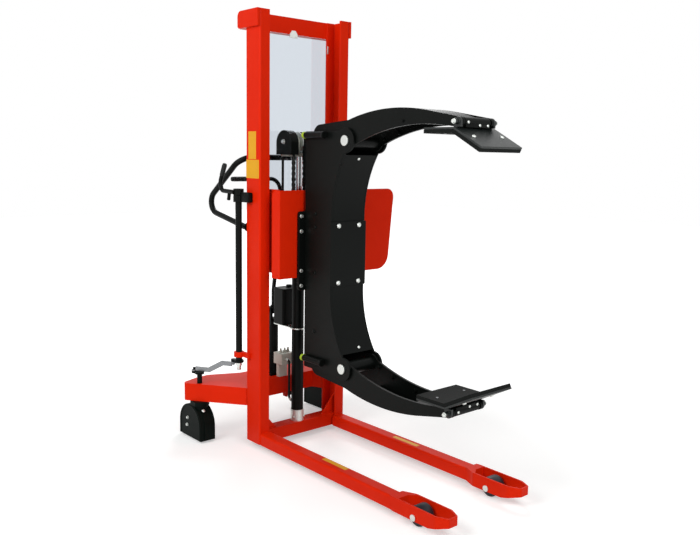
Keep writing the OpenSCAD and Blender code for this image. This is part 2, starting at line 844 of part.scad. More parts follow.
// Push handle and steering
module push_handle() {
  translate(origin) color(black) bent_tube(handle_path, handle_bends, handle_d / 2);
}

module column_bearing(z, h, r, reach) {
  difference() {
    union() {
      translate([steer.x, -steer.y, z]) cylinder(r = r, h = h);
      block([-channel_d - 12, -half_w - 14, z], [reach, -half_w, z + h]);
    }
    translate([steer.x, -steer.y, z - 1]) cylinder(r = column_dia / 2 + running, h = h + 2);
  }
}

module column_brackets() {
  translate(origin) {
    color(red) column_bearing(column_low_z + 28, 24, 24, -72);
    color(black) column_bearing(1148, 30, 24, -62);
  }
}

module steering_column() {
  x = steer.x;
  y = -steer.y;
  lever_y = y - 24;
  arm = [x + steer_arm.x, y + steer_arm.y];
  translate(origin) color(black) {
    translate([x, y, column_low_z]) cylinder(r = column_dia / 2, h = column_top_z - column_low_z);
    translate([x, y, collar_z]) cylinder(r = 24, h = 30);
    bent_tube([for (c = lever_corners) [x + c[0], lever_y, c[1]]], [24, 40], 10);
    translate([x + lever_stub[0], lever_y, lever_stub[1]]) rotate([0, 16, 0]) cylinder(r = 8, h = 44);
    translate([x, y, column_low_z]) cylinder(r = 22, h = 12);
    translate([arm.x, arm.y, column_low_z]) cylinder(r = 12, h = 12);
    along = unit(steer_arm);
    translate([0, 0, column_low_z]) linear_extrude(12) polygon([
      [x, y] + 11 * left_of(along), arm + 11 * left_of(along), arm - 11 * left_of(along),
      [x, y] - 11 * left_of(along)]);
    translate([arm.x, arm.y, column_low_z - 16]) cylinder(r = pin_r, h = 18);
  }
}

// A flat bar on edge, welded between two eyes on the pins of the steering column
// and of the caster arm
module steering_link() {
  low = [swivel.x + steer_arm.x, -swivel.y + steer_arm.y, steer_arm_z];
  high = [steer.x + steer_arm.x, -steer.y + steer_arm.y, column_low_z - 6];
  span = norm([high.x - low.x, high.y - low.y]);
  bearing = atan2(high.y - low.y, high.x - low.x);
  rise = high.z - low.z;
  eye_t = 6;
  foot = -7.7;
  top = rise + eye_t / 2;
  translate(origin) color(zinc) translate(low) rotate([0, 0, bearing]) difference() {
    union() {
      translate([0, 0, foot]) cylinder(r = link_eye_r, h = eye_t);
      translate([span, 0, top - eye_t]) cylinder(r = link_eye_r, h = eye_t);
      translate([0, link_t / 2, 0]) rotate([90, 0, 0]) linear_extrude(link_t) polygon([
        [8, foot], [84, foot], [span - 52, top - link_h], [span - 8, top - link_h],
        [span - 8, top], [span - 62, top], [74, foot + link_h], [8, foot + link_h]]);
    }
    translate([0, 0, -20]) cylinder(r = pin_r + running, h = 60);
    translate([span, 0, rise - 30]) cylinder(r = pin_r + running, h = 60);
  }
}

// Carriage
module carriage_frame() {
  reach = roller_y - 0.3 - side_y;
  translate(origin) color(red) {
    difference() {
      union() {
        both_sides() plate_xz(side_y, side_t)
          translate([-95, lower_roller_z - 40]) square([95 + face_x, roller_pitch + 80]);
        block([face_x, -side_y - side_t, axis_z - 104], [case_x, side_y + side_t, axis_z + 256]);
        block([strand_x[1] - 8, sheave_y - 14, load_anchor_z - 16], [face_x, 24, load_anchor_z]);
      }
      bar_x([0, 0, axis_z], hub_r + running, 200);
      block([face_x - 1, -120, axis_z + 110], [case_x + 1, 120, axis_z + 210]);
    }
    both_sides() for (z = [lower_roller_z, upper_roller_z]) {
      bar_y([roller_x, side_y + side_t, z], roller_axle_r + 8, reach - side_t);
      bar_y([roller_x, side_y + side_t, z], roller_axle_r, roller_y + roller_w + 2 - side_y - side_t);
    }
  }
}

module rollers(z) {
  translate(origin) color(zinc) both_sides() difference() {
    bar_y([roller_x, roller_y, z], roller_r, roller_w);
    bar_y([roller_x, roller_y - 5, z], roller_axle_r + running, roller_w + 10);
  }
}

module upper_rollers() {
  rollers(upper_roller_z);
}

module lower_rollers() {
  rollers(lower_roller_z);
}

module front_shield() {
  low = axis_z - shield_down;
  high = axis_z + shield_up;
  translate(origin) color(red) difference() {
    union() {
      plate_yz(shield_x, shield_t) polygon(shield_outline);
      plate_xz(-shield_near, shield_t) polygon(rounded([
        [shield_x - 56, low], [shield_x, low], [shield_x, high], [shield_x - 56, high]],
        [0, 0, 0, 30]));
    }
    bar_x([shield_x - 10, 0, axis_z], hub_r + 1, 30);
  }
}

module chain_case() {
  wall = 6;
  translate(origin) color(black) difference() {
    union() {
      translate([0, 0, axis_z]) plate_yz(case_x, case_d) belt(116, 42, handwheel_y);
      bar_x([case_x - 26, handwheel_y, axis_z], 18, 26);
    }
    translate([0, 0, axis_z]) plate_yz(case_x + wall, case_d) belt(116 - wall, 42 - wall, handwheel_y);
    bar_x([case_x - 1, 0, axis_z], hub_r + 1, 20);
    bar_x([case_x - 40, handwheel_y, axis_z], shaft_r + running, 60);
  }
}

// A chain sprocket's outline: a disc with round notches between its teeth
module sprocket(r, teeth) {
  difference() {
    circle(r);
    for (i = [0:teeth - 1]) rotate(i * 360 / teeth) translate([r + 1, 0]) circle(5, $fn = 16);
  }
}

module rotation_chain() {
  translate(origin) color(black) translate([0, 0, axis_z]) plate_yz(sprocket_x, sprocket_t) difference() {
    belt(big_sprocket_r + 6.3, small_sprocket_r + 6.3, handwheel_y);
    belt(big_sprocket_r + 0.3, small_sprocket_r + 0.3, handwheel_y);
  }
}

module handwheel() {
  translate(origin) {
    color(zinc) {
      bar_x([handwheel_x - 16, handwheel_y, axis_z], shaft_r, sprocket_x + sprocket_t + 16 - handwheel_x);
      translate([0, handwheel_y, axis_z]) plate_yz(sprocket_x, sprocket_t) sprocket(small_sprocket_r, 8);
    }
    color(black) translate([handwheel_x, handwheel_y, axis_z]) {
      rotate([0, 90, 0]) rotate_extrude() translate([handwheel_r, 0]) circle(8);
      for (a = [90, 210, 330]) rotate([a, 0, 0]) cylinder(r = 6, h = handwheel_r);
      bar_x([-14, 0, 0], 22, 26);
      bar_x([-60, 0, handwheel_r], 11, 60);
    }
  }
}

// Turning clamp column
module rotator_hub() {
  translate(origin) color(zinc) {
    bar_x([face_x, 0, axis_z], hub_r, flange_x - face_x);
    difference() {
      translate([0, 0, axis_z]) plate_yz(sprocket_x, sprocket_t) sprocket(big_sprocket_r, 40);
      bar_x([face_x, 0, axis_z], hub_r - 5, 60);
    }
  }
}

module rotator_flange() {
  translate(origin) color(black) translate([0, 0, axis_z]) plate_yz(flange_x, flange_plate_t)
    round_rect(2 * flange_size.x, 2 * flange_size.y, 14);
}

module cheek_outline() {
  difference() {
    union() {
      difference() {
        translate([column_x, -column_end]) square([pin_x - column_x, 2 * column_end]);
        translate([column_front, -waist]) square([flare_r, 2 * waist]);
        for (s = [-1, 1]) translate([column_front + flare_r, s * waist]) circle(flare_r, $fn = 180);
      }
      for (s = [-1, 1]) translate([pin_x, s * pin_rise]) circle(pin_boss_r);
    }
    for (s = [-1, 1]) translate([pin_x, s * pin_rise]) circle(pin_d / 2);
  }
}

module column_cheeks() {
  translate(origin) color(black) both_sides() translate([0, 0, axis_z]) plate_xz(cheek_in, cheek_t)
    cheek_outline();
}

module column_back() {
  translate(origin) color(black)
    block([column_x, -cheek_in, axis_z - column_end], [column_x + skin_t, cheek_in, axis_z + column_end]);
}

module front_skin() {
  translate(origin) color(black) translate([0, 0, axis_z]) plate_xz(-cheek_in, 2 * cheek_in) {
    translate([column_front - skin_t, -waist]) square([skin_t, 2 * waist]);
    for (s = [0, 1]) mirror([0, s]) intersection() {
      translate([column_front - skin_t, waist]) square([flare_r, skin_half - waist]);
      translate([column_front + flare_r, waist]) difference() {
        circle(flare_r + skin_t, $fn = 180);
        circle(flare_r, $fn = 180);
      }
      translate([column_x, 0]) square([pin_x - column_x, pin_rise]);
    }
  }
}

module cover_plate() {
  translate(origin) color(black) translate([0, 0, axis_z]) plate_yz(column_front, 6)
    round_rect(2 * column_half + 8, 286, 6);
}

module clamp_bolts() {
  translate(origin) color(zinc) {
    for (y = [-58, 58], z = [-125, 125])
      translate([column_front + 6, y, axis_z + z]) rotate([0, 90, 0]) bolt_head(11);
    for (y = [-117, 117], z = [-157, -89, 89, 157])
      translate([column_x, y, axis_z + z]) rotate([0, 90, 0]) bolt_head(9);
    for (z = [-357, -91, 112, 172])
      translate([197, -column_half, axis_z + z]) rotate([90, 0, 0]) cylinder(r = 9, h = 4);
  }
}

// Hydraulic port tubes on the near cheek, each with its plastic plug and a foot
module port_tubes() {
  x = column_x + 20;
  y = -column_half - port_r - 2;
  foot = [x + port_len / 2 - 20, x + port_len / 2 + 20];
  translate(origin) for (z = [pin_z[0] + 4, pin_z[1] + 24]) {
    color(black) bar_x([x, y, z], port_r, port_len);
    color(black) block([foot[0], y, z - 8], [foot[1], -column_half, z + 8]);
    color("#b9d043") bar_x([x - plug_len, y, z], port_r + 1, plug_len);
  }
}

module pivot_pins() {
  translate(origin) color(zinc) for (z = pin_z) {
    bar_y([pin_x, -column_half, z], pin_d / 2, 2 * column_half);
    bar_y([pin_x, -column_half - 7, z], pin_d / 2 + 4, 7);
    bar_y([pin_x, column_half, z], pin_d / 2 + 4, 7);
  }
}

// Where an arm's pad pivots, measured from its pivot pin with outward upward
function pad_pivot(bend) = turned([arm_reach, arm_rise], -bend);

// One side plate of an arm, drawn from its pivot pin with outward upward. The part in
// front of the pin is turned toward the reel by the bend.
module arm_outline(bend) {
  steps = 24;
  outer = [for (i = [0:steps]) let (x = arm_reach * i / steps) [x, edge_z(arm_outer, x)]];
  inner = [for (i = [steps:-1:0]) let (x = arm_reach * i / steps) [x, edge_z(arm_inner, x)]];
  difference() {
    union() {
      rotate(-bend) {
        difference() {
          polygon(concat(outer, inner));
          translate([arm_reach - 70, arm_rise - arm_pad_gap + 4 - 60]) square([100, 60]);
        }
        translate([arm_reach, arm_rise]) circle(arm_tip_r);
        polygon([[arm_reach - 150, edge_z(arm_outer, arm_reach - 150)], [arm_reach - 150, arm_rise],
                 [arm_reach, arm_rise - arm_tip_r / 2], [arm_reach, arm_rise + arm_tip_r]]);
      }
      circle(arm_hub_r);
      translate(arm_tail) circle(arm_tail_r);
      polygon([turned([4, edge_z(arm_outer, 4)], -bend), arm_tail + [0, arm_tail_r],
               arm_tail - [0, arm_tail_r], [0, -arm_hub_r]]);
    }
    circle(pin_d / 2 + running);
    translate(pad_pivot(bend)) circle(pad_pin_r + running);
    translate(arm_tail) circle(tail_pin_r);
  }
}

// Strip between two x positions that follows the outer edge of an arm
module arm_skin_outline(edge, x0, x1, side) {
  steps = 20;
  t = 8;
  far = [for (i = [0:steps]) let (x = x0 + (x1 - x0) * i / steps) [x, edge_z(edge, x)]];
  near = [for (i = [steps:-1:0]) let (x = x0 + (x1 - x0) * i / steps) [x, edge_z(edge, x) + side * t]];
  polygon(concat(far, near));
}

module arm(bend) {
  inside = arm_half - arm_t;
  both_sides() plate_xz(inside, arm_t) arm_outline(bend);
  plate_xz(-inside, 2 * inside) rotate(-bend) {
    arm_skin_outline(arm_outer, 60, arm_reach - 30, -1);
    arm_skin_outline(arm_inner, 430, arm_reach - 75, 1);
  }
  rotate([0, bend, 0]) both_sides() for (x = arm_bolts)
    bar_y([x, inside - boss_t, edge_z(arm_inner, x) + 22], 9, boss_t);
  difference() {
    bar_y([0, -inside, 0], sleeve_r, 2 * inside);
    bar_y([0, -arm_half, 0], pin_d / 2 + running, 2 * arm_half);
  }
  bar_y([arm_tail.x, -arm_half, arm_tail.y], tail_pin_r, 2 * arm_half);
}

module upper_arm() {
  translate(origin) color(black) translate([pin_x, 0, pin_z[1]]) arm(0);
}

module lower_arm() {
  translate(origin) color(black) translate([pin_x, 0, pin_z[0]]) mirror([0, 0, 1]) arm(lower_bend);
}

// Clamp cylinder between the two tail pins
module clamp_barrel() {
  eye = pin_z[0] - arm_tail.y;
  translate(origin) color(black) translate([pin_x + arm_tail.x, 0, eye]) difference() {
    union() {
      bar_y([0, -30, 0], 34, 60);
      cylinder(r = ram_r, h = ram_len);
    }
    bar_y([0, -40, 0], tail_pin_r + running, 80);
    translate([0, 0, 60]) cylinder(r = ram_bore_r, h = ram_len - 100);
    cylinder(r = ram_rod_r + running, h = 10);
    translate([0, 0, ram_len - 50]) cylinder(r = ram_rod_r + running, h = 60);
  }
}

module clamp_rod() {
  eye = pin_z[1] + arm_tail.y;
  translate(origin) color(zinc) translate([pin_x + arm_tail.x, 0, eye]) difference() {
    union() {
      bar_y([0, -30, 0], 32, 60);
      translate([0, 0, -ram_rod_len]) cylinder(r = ram_rod_r, h = ram_rod_len);
      translate([0, 0, -ram_rod_len]) cylinder(r = ram_bore_r - running, h = 40);
    }
    bar_y([0, -40, 0], tail_pin_r + running, 80);
  }
}

// A pad is drawn from its pivot, with the reel below it. Its layers are given by
// their distances below the steel plate's outer face.
function pad_fold(d) = [-d * tan(wing_fold / 2), -arm_pad_gap - d];
function pad_tip(d) = [wing_len * cos(wing_fold) - d * sin(wing_fold),
                       -arm_pad_gap - wing_len * sin(wing_fold) - d * cos(wing_fold)];

module pad_layer(top, bottom) {
  plate_xz(-pad_half, 2 * pad_half) polygon([
    [-wing_len, -arm_pad_gap - top], pad_fold(top), pad_tip(top),
    pad_tip(bottom), pad_fold(bottom), [-wing_len, -arm_pad_gap - bottom]]);
}

module pad_steel() {
  pad_layer(0, pad_t);
  both_sides() plate_xz(arm_half + 2, 10) {
    circle(arm_tip_r);
    translate([-arm_tip_r, -arm_pad_gap]) square([2 * arm_tip_r, arm_pad_gap]);
  }
  bar_y([0, -pad_half, 0], pad_pin_r, 2 * pad_half);
}

module pad_rubber() {
  pad_layer(pad_t, pad_t + rubber_t);
}

module upper_pad() {
  translate(origin) color(black) translate([pin_x + arm_reach, 0, pin_z[1] + arm_rise]) pad_steel();
}

module upper_pad_rubber() {
  translate(origin) color(rubber) translate([pin_x + arm_reach, 0, pin_z[1] + arm_rise]) pad_rubber();
}

module lower_pad() {
  at = pad_pivot(lower_bend);
  translate(origin) color(black) translate([pin_x + at.x, 0, pin_z[0] - at.y])
    mirror([0, 0, 1]) pad_steel();
}

module lower_pad_rubber() {
  at = pad_pivot(lower_bend);
  translate(origin) color(rubber) translate([pin_x + at.x, 0, pin_z[0] - at.y])
    mirror([0, 0, 1]) pad_rubber();
}

right_upright();
left_upright();
top_beam();
guard_panel();
guard_clips();
base_crossbar();
right_leg();
left_leg();
load_axles();
rear_deck();
foot_sleeve();
lift_barrel();
barrel_brackets();
oil_tank();
valve_block();
pump_body();
pressure_hose();
column_brackets();
push_handle();
fixed_strands();
piston_rod();
yoke();
sheave_guard();
strand_wraps();
chain_wheels();
carriage_frame();
front_shield();
chain_case();
load_strands();
rotation_chain();
upper_rollers();
lower_rollers();
handwheel();
rotator_hub();
rotator_flange();
column_cheeks();
column_back();
front_skin();
cover_plate();
clamp_bolts();
port_tubes();
pivot_pins();
upper_arm();
lower_arm();
clamp_rod();
clamp_barrel();
upper_pad();
upper_pad_rubber();
lower_pad();
lower_pad_rubber();
steering_column();
steering_link();
right_caster();
left_caster();
right_caster_wheel();
left_caster_wheel();
right_load_wheel();
left_load_wheel();
foot_pedal();
pump_lever();
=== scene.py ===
# %% [markdown]
# # A hand-pushed reel stacker
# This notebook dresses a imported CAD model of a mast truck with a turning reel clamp.
# The CAD gives every piece its place and size in metres, so here we add finishes and
# the shapes that a CAD kernel leaves plain: bent tubes, lathe-turned wheels, chains.

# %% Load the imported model
import bpy, bmesh, json, math
from mathutils import Matrix, Vector


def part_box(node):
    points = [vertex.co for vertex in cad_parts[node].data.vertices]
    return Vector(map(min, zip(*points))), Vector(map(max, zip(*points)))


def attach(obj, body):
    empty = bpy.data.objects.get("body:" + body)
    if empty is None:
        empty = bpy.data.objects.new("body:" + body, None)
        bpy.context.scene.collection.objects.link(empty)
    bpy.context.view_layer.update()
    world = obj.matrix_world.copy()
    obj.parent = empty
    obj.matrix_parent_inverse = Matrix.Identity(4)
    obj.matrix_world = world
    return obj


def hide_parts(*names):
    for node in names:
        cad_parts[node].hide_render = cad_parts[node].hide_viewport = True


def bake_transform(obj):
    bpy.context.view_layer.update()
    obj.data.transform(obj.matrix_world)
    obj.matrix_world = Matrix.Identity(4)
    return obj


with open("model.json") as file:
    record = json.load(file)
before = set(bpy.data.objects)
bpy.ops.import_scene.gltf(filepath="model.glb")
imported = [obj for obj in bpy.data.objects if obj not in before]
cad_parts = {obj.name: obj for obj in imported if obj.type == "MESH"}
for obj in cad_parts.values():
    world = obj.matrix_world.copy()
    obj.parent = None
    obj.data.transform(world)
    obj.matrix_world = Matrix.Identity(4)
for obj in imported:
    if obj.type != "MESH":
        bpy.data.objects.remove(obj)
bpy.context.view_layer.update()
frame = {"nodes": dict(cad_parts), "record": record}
nodes = frame["nodes"]

# %% [markdown]
# ## Where things are
# All drawings of this machine start from one point: the middle of the mast's front
# face, on the floor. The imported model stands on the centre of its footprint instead.
# We find the shift between the two from the uprights, and write every position in
# millimetres from the mast, as a mechanic would: x towards the leg tips, y towards the
# far side and z up.

# %% Positions in millimetres from the mast
low_r, high_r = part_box("right_upright")
_, high_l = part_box("left_upright")
mast_front = high_r.x
mast_middle = (low_r.y + high_l.y) / 2


def at(x, y, z):
    return Vector((mast_front + x / 1000, mast_middle + y / 1000, z / 1000))


print("mast front at x =", round(mast_front, 4), "m, mast", round(high_r.z, 3), "m high")

# %% [markdown]
# ## The camera
# The photograph was taken from the front right, a little above the clamp, with a
# normal lens. The place and the angles below were solved from the mast's corners, the
# legs and the wheels, so that the render can be laid over the photograph. The lens
# follows from the focal length in pixels and the photograph's width.

# %% Camera
turn, dip, tilt = (math.radians(a) for a in (48.836, 7.9985, 0.9437))
stand = at(2928.66, -2276.79, 1364.29)
focal_px, photo_px, sensor_mm = 794.35, 700, 36
back = Vector((math.sin(turn) * math.cos(dip), -math.cos(turn) * math.cos(dip), math.sin(dip)))
level = (-back).cross(Vector((0, 0, 1))).normalized()
rise = level.cross(-back)
right = math.cos(tilt) * level + math.sin(tilt) * rise
up = math.cos(tilt) * rise - math.sin(tilt) * level

camera = bpy.data.objects.new("camera", bpy.data.cameras.new("camera"))
bpy.context.scene.collection.objects.link(camera)
camera.matrix_world = Matrix.Translation(stand) @ Matrix((right, up, back)).transposed().to_4x4()
camera.data.sensor_width = sensor_mm
camera.data.lens = sensor_mm * focal_px / photo_px
camera.data.clip_end = 50
bpy.context.scene.camera = camera
bpy.context.scene.view_settings.view_transform = "Standard"
print("lens", round(camera.data.lens, 2), "mm")

# %% [markdown]
# ## Tools for finishes
# A colour is written as it looks on screen, in hex. Blender's shaders want linear
# light, so one function turns the first into the second. Another adds a shader node
# with its settings and its links, which keeps each recipe below short. All recipes end
# alike, so a last one joins their colour, relief and gloss to the surface.

# %% Colour and node helpers
def linear(hex_colour):
    values = [int(hex_colour[i:i + 2], 16) / 255 for i in (1, 3, 5)]
    return [v / 12.92 if v < 0.04045 else ((v + 0.055) / 1.055) ** 2.4 for v in values] + [1.0]


def add_node(tree, kind, links=None, **settings):
    node = tree.nodes.new(kind)
    for name, value in settings.items():
        if name.startswith("in_"):
            key = name[3:]
            node.inputs[int(key) if key.isdigit() else key.replace("_", " ")].default_value = value
        else:
            setattr(node, name, value)
    for name, source in (links or {}).items():
        tree.links.new(source, node.inputs[name])
    return node


def new_material(name):
    material = bpy.data.materials.new(name)
    material.use_nodes = True
    tree = material.node_tree
    return material, tree, tree.nodes["Principled BSDF"]


def join_up(tree, surface, tone, bump, gloss=None):
    tree.links.new(tone.outputs[2], surface.inputs["Base Color"])
    tree.links.new(bump.outputs["Normal"], surface.inputs["Normal"])
    if gloss is not None:
        tree.links.new(gloss.outputs["Result"], surface.inputs["Roughness"])


noise_span = {"in_From_Min": 0.3, "in_From_Max": 0.7}  # where most of a noise's values lie
print("red in linear light:", [round(v, 3) for v in linear("#E32906")[:3]])

# %% [markdown]
# ## One recipe for coated steel
# Most of this machine is steel plate under powder coat. The powder melts into a skin
# that is never quite flat: it has a soft ripple called orange peel, about 3 mm from
# crest to crest, and its colour and gloss drift a little where the coat is thicker.
# It could be one flat glossy colour, but then large plates look like cut paper. So a
# wide noise moves colour and gloss, and a fine one gives the ripple. The ripple is
# drawn 4 mm wide, so that it shows at this size.

# %% Powder coat
drift_scale, peel_scale = 5.0, 250.0  # patches of 200 mm, ripples of 4 mm


def powder_coat(name, colour, thick, rough, ripple, shine):
    material, tree, surface = new_material(name)
    place = add_node(tree, "ShaderNodeTexCoord")
    drift = add_node(tree, "ShaderNodeTexNoise", {"Vector": place.outputs["Object"]},
                     in_Scale=drift_scale, in_Detail=4.0, in_Roughness=0.6)
    tone = add_node(tree, "ShaderNodeMix", {"Factor": drift.outputs["Fac"]}, data_type="RGBA",
                    in_6=linear(colour), in_7=linear(thick))
    gloss = add_node(tree, "ShaderNodeMapRange", {"Value": drift.outputs["Fac"]},
                     in_To_Min=rough - 0.05, in_To_Max=rough + 0.07, **noise_span)
    peel = add_node(tree, "ShaderNodeTexNoise", {"Vector": place.outputs["Object"]},
                    in_Scale=peel_scale, in_Detail=2.0, in_Roughness=0.45)
    bump = add_node(tree, "ShaderNodeBump", {"Height": peel.outputs["Fac"]},
                    in_Strength=ripple, in_Distance=0.0006)
    join_up(tree, surface, tone, bump, gloss)
    surface.inputs["Specular IOR Level"].default_value = shine
    return material


print("recipe ready: powder coat")

# %% [markdown]
# The frame is red orange and the clamp satin black. The pads' coat is greyer and
# shinier, rubbed by the reels, and the caster guards' black leans to green. Valve block
# and yoke are cast, and their grey enamel keeps the casting's coarser skin.

# %% The five coats
red_powder = powder_coat("red_orange_powder_coat", "#E32906", "#D42104", 0.36, 0.3, 0.06)
black_powder = powder_coat("satin_black_powder_coat", "#070908", "#0C0F0D", 0.4, 0.45, 0.08)
pad_powder = powder_coat("black_coat_on_pads", "#101514", "#181D1C", 0.36, 0.45, 0.35)
guard_powder = powder_coat("green_black_coat_on_guards", "#060C09", "#0B120F", 0.46, 0.45, 0.05)
grey_enamel = powder_coat("grey_enamel_on_casting", "#C9CCC0", "#B8BBB0", 0.5, 0.9, 0.4)
for coat in (red_powder, black_powder, pad_powder, guard_powder, grey_enamel):
    print("coat:", coat.name)

# %% [markdown]
# ## Bare and plated metals
# Bolts and brackets are zinc plated: a pale grey with a faint cloudy spangle. The
# piston rods are hard chromed and ground, so they are brighter and carry fine rings
# from the grinder, drawn 2 mm apart. Chain is plain steel, dark with oil. All we see of
# a metal is its reflections, so one noise moves their tint and their blur together.
# Stretching that noise along one axis turns grains into rings or lines.

# %% Metals
def metal(name, colour, dull, rough, grain, spread, strength, stretch=(1, 1, 1)):
    material, tree, surface = new_material(name)
    place = add_node(tree, "ShaderNodeTexCoord")
    turned = add_node(tree, "ShaderNodeMapping", {"Vector": place.outputs["Object"]},
                      in_Scale=stretch)
    noise = add_node(tree, "ShaderNodeTexNoise", {"Vector": turned.outputs["Vector"]},
                     in_Scale=grain, in_Detail=5.0, in_Roughness=0.55)
    tone = add_node(tree, "ShaderNodeMix", {"Factor": noise.outputs["Fac"]}, data_type="RGBA",
                    in_6=linear(colour), in_7=linear(dull))
    gloss = add_node(tree, "ShaderNodeMapRange", {"Value": noise.outputs["Fac"]},
                     in_To_Min=rough, in_To_Max=rough + spread, **noise_span)
    bump = add_node(tree, "ShaderNodeBump", {"Height": noise.outputs["Fac"]},
                    in_Strength=strength, in_Distance=0.0003)
    join_up(tree, surface, tone, bump, gloss)
    surface.inputs["Metallic"].default_value = 1.0
    return material


rings, lines = (1, 1, 40), (1, 12, 1)
zinc_plate = metal("zinc_plated_steel", "#E2E5E1", "#BCC0BC", 0.34, 160.0, 0.16, 0.2)
hard_chrome = metal("hard_chromed_rod", "#D2D4D6", "#B9BCBF", 0.12, 12.0, 0.1, 0.25, rings)
ground_steel = metal("ground_roller_steel", "#8E9092", "#6C6E70", 0.28, 60.0, 0.2, 0.3, lines)
oiled_chain = metal("oiled_chain_steel", "#242625", "#121413", 0.48, 220.0, 0.25, 0.4)
print("metals:", zinc_plate.name, hard_chrome.name, ground_steel.name, oiled_chain.name)

# %% [markdown]
# ## Rubber, wheels, hose and plastics
# The pads are faced with black rubber sheet whose skin shows a fine cloth print from
# the press. The tyres are cast polyurethane, smoother and slightly blue. Grips and
# plugs are moulded, and the labels are vinyl film. None has metal in it, so their only
# shine is the broad one of a rough surface. Small cells stand for print and grain, and
# a wide noise is the dust that settles on them.

# %% Rubber and plastics
def moulded(name, colour, dusty, rough, grain, strength, shine=0.2):
    material, tree, surface = new_material(name)
    place = add_node(tree, "ShaderNodeTexCoord")
    wide = add_node(tree, "ShaderNodeTexNoise", {"Vector": place.outputs["Object"]},
                    in_Scale=14.0, in_Detail=5.0, in_Roughness=0.65)
    tone = add_node(tree, "ShaderNodeMix", {"Factor": wide.outputs["Fac"]}, data_type="RGBA",
                    in_6=linear(colour), in_7=linear(dusty))
    fine = add_node(tree, "ShaderNodeTexVoronoi", {"Vector": place.outputs["Object"]},
                    in_Scale=grain)
    bump = add_node(tree, "ShaderNodeBump", {"Height": fine.outputs["Distance"]},
                    in_Strength=strength, in_Distance=0.0005)
    join_up(tree, surface, tone, bump)
    surface.inputs["Roughness"].default_value = rough
    surface.inputs["Specular IOR Level"].default_value = shine
    return material


pad_rubber = moulded("black_rubber_sheet", "#0C0E0D", "#161817", 0.85, 420.0, 0.5, 0.12)
tyre = moulded("cast_polyurethane_tyre", "#17171D", "#24242B", 0.45, 260.0, 0.25, 0.3)
hose_rubber = moulded("hose_cover_rubber", "#161817", "#232625", 0.6, 500.0, 0.4)
plug_plastic = moulded("yellow_green_polythene", "#B4CC3A", "#9DB82F", 0.42, 200.0, 0.1)
grip_plastic = moulded("black_moulded_grip", "#121413", "#1D201F", 0.5, 350.0, 0.5)
label_film = moulded("yellow_vinyl_label", "#E8A91C", "#D9990F", 0.38, 120.0, 0.05)
print("soft and moulded finishes:", pad_rubber.name, tyre.name, hose_rubber.name)

# %% [markdown]
# ## The clear guard's finish
# Behind the mast stands a sheet of clear polycarbonate. It lets almost all light
# through, greys it a little, and shows a faint haze of handling marks. So it is glass
# to Blender, with the plastic's own refraction and a noise that blurs it here and there.

# %% Clear polycarbonate
clear_sheet, tree, surface = new_material("clear_polycarbonate_sheet")
place = add_node(tree, "ShaderNodeTexCoord")
haze = add_node(tree, "ShaderNodeTexNoise", {"Vector": place.outputs["Object"]},
                in_Scale=9.0, in_Detail=6.0)
blur = add_node(tree, "ShaderNodeMapRange", {"Value": haze.outputs["Fac"]},
                in_From_Min=0.35, in_From_Max=0.75, in_To_Min=0.02, in_To_Max=0.06)
tree.links.new(blur.outputs["Result"], surface.inputs["Roughness"])
surface.inputs["Base Color"].default_value = linear("#D5DCE4")
surface.inputs["Transmission Weight"].default_value = 1.0
surface.inputs["IOR"].default_value = 1.585
print("clear sheet refracts with", round(surface.inputs["IOR"].default_value, 3))

# %% [markdown]
# ## Who wears what
# Each CAD piece gets the finish of the real one, by name. Most of the clamp is black,
# so black is what a piece wears when no list names it.

# %% Finishes of the CAD pieces
finishes = {
    red_powder: """right_upright left_upright top_beam base_crossbar right_leg left_leg rear_deck
        carriage_frame front_shield""",
    zinc_plate: """guard_clips load_axles foot_sleeve barrel_brackets chain_wheels rotator_hub
        clamp_bolts pivot_pins""",
    hard_chrome: "piston_rod clamp_rod",
    ground_steel: "upper_rollers lower_rollers steering_link",
    grey_enamel: "valve_block yoke",
    pad_powder: "upper_pad lower_pad",
    guard_powder: "right_caster left_caster",
    clear_sheet: "guard_panel",
    pad_rubber: "upper_pad_rubber lower_pad_rubber",
    tyre: "right_caster_wheel left_caster_wheel right_load_wheel left_load_wheel",
    hose_rubber: "pressure_hose",
    oiled_chain: "fixed_strands load_strands strand_wraps rotation_chain",
}
wears = {name: material for material, names in finishes.items() for name in names.split()}
for name, piece in nodes.items():
    piece.data.materials.clear()
    piece.data.materials.append(wears.get(name, black_powder))
print(len(wears), "pieces in their own finish, the rest in", black_powder.name)

# %% [markdown]
# ## How a piece is finished
# Every new shape ends in the same way. Points that lie on each other are merged, the
# faces are turned outwards, and the shading is smooth but for edges sharper than an
# angle. Then the piece rides on its body, and stands for the CAD piece that it
# replaces, if there is one.

# %% Finish a piece
record = frame["record"]
rides_on = {name: body for body, names in record["behaviour"]["bodies"].items() for name in names}
slot_of = {part["node"]: part["material_slot"] for part in record["subparts"]}
same_point = 0.00001  # a hundredth of a millimetre


def finish_piece(name, mesh, material, body, slot, *replaced, sharp=40):
    bmesh.ops.remove_doubles(mesh, verts=mesh.verts, dist=same_point)
    bmesh.ops.recalc_face_normals(mesh, faces=mesh.faces)
    data = bpy.data.meshes.new(name)
    mesh.to_mesh(data)
    mesh.free()
    data.materials.append(material)
    data.shade_smooth()
    if sharp:
        data.set_sharp_from_angle(angle=math.radians(sharp))
    piece = bpy.data.objects.new(name, data)
    bpy.context.scene.collection.objects.link(piece)
    if body:
        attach(piece, body)
    if replaced:
        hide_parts(*replaced)
    return piece


print(len(rides_on), "pieces know their body and", len(slot_of), "their slot")

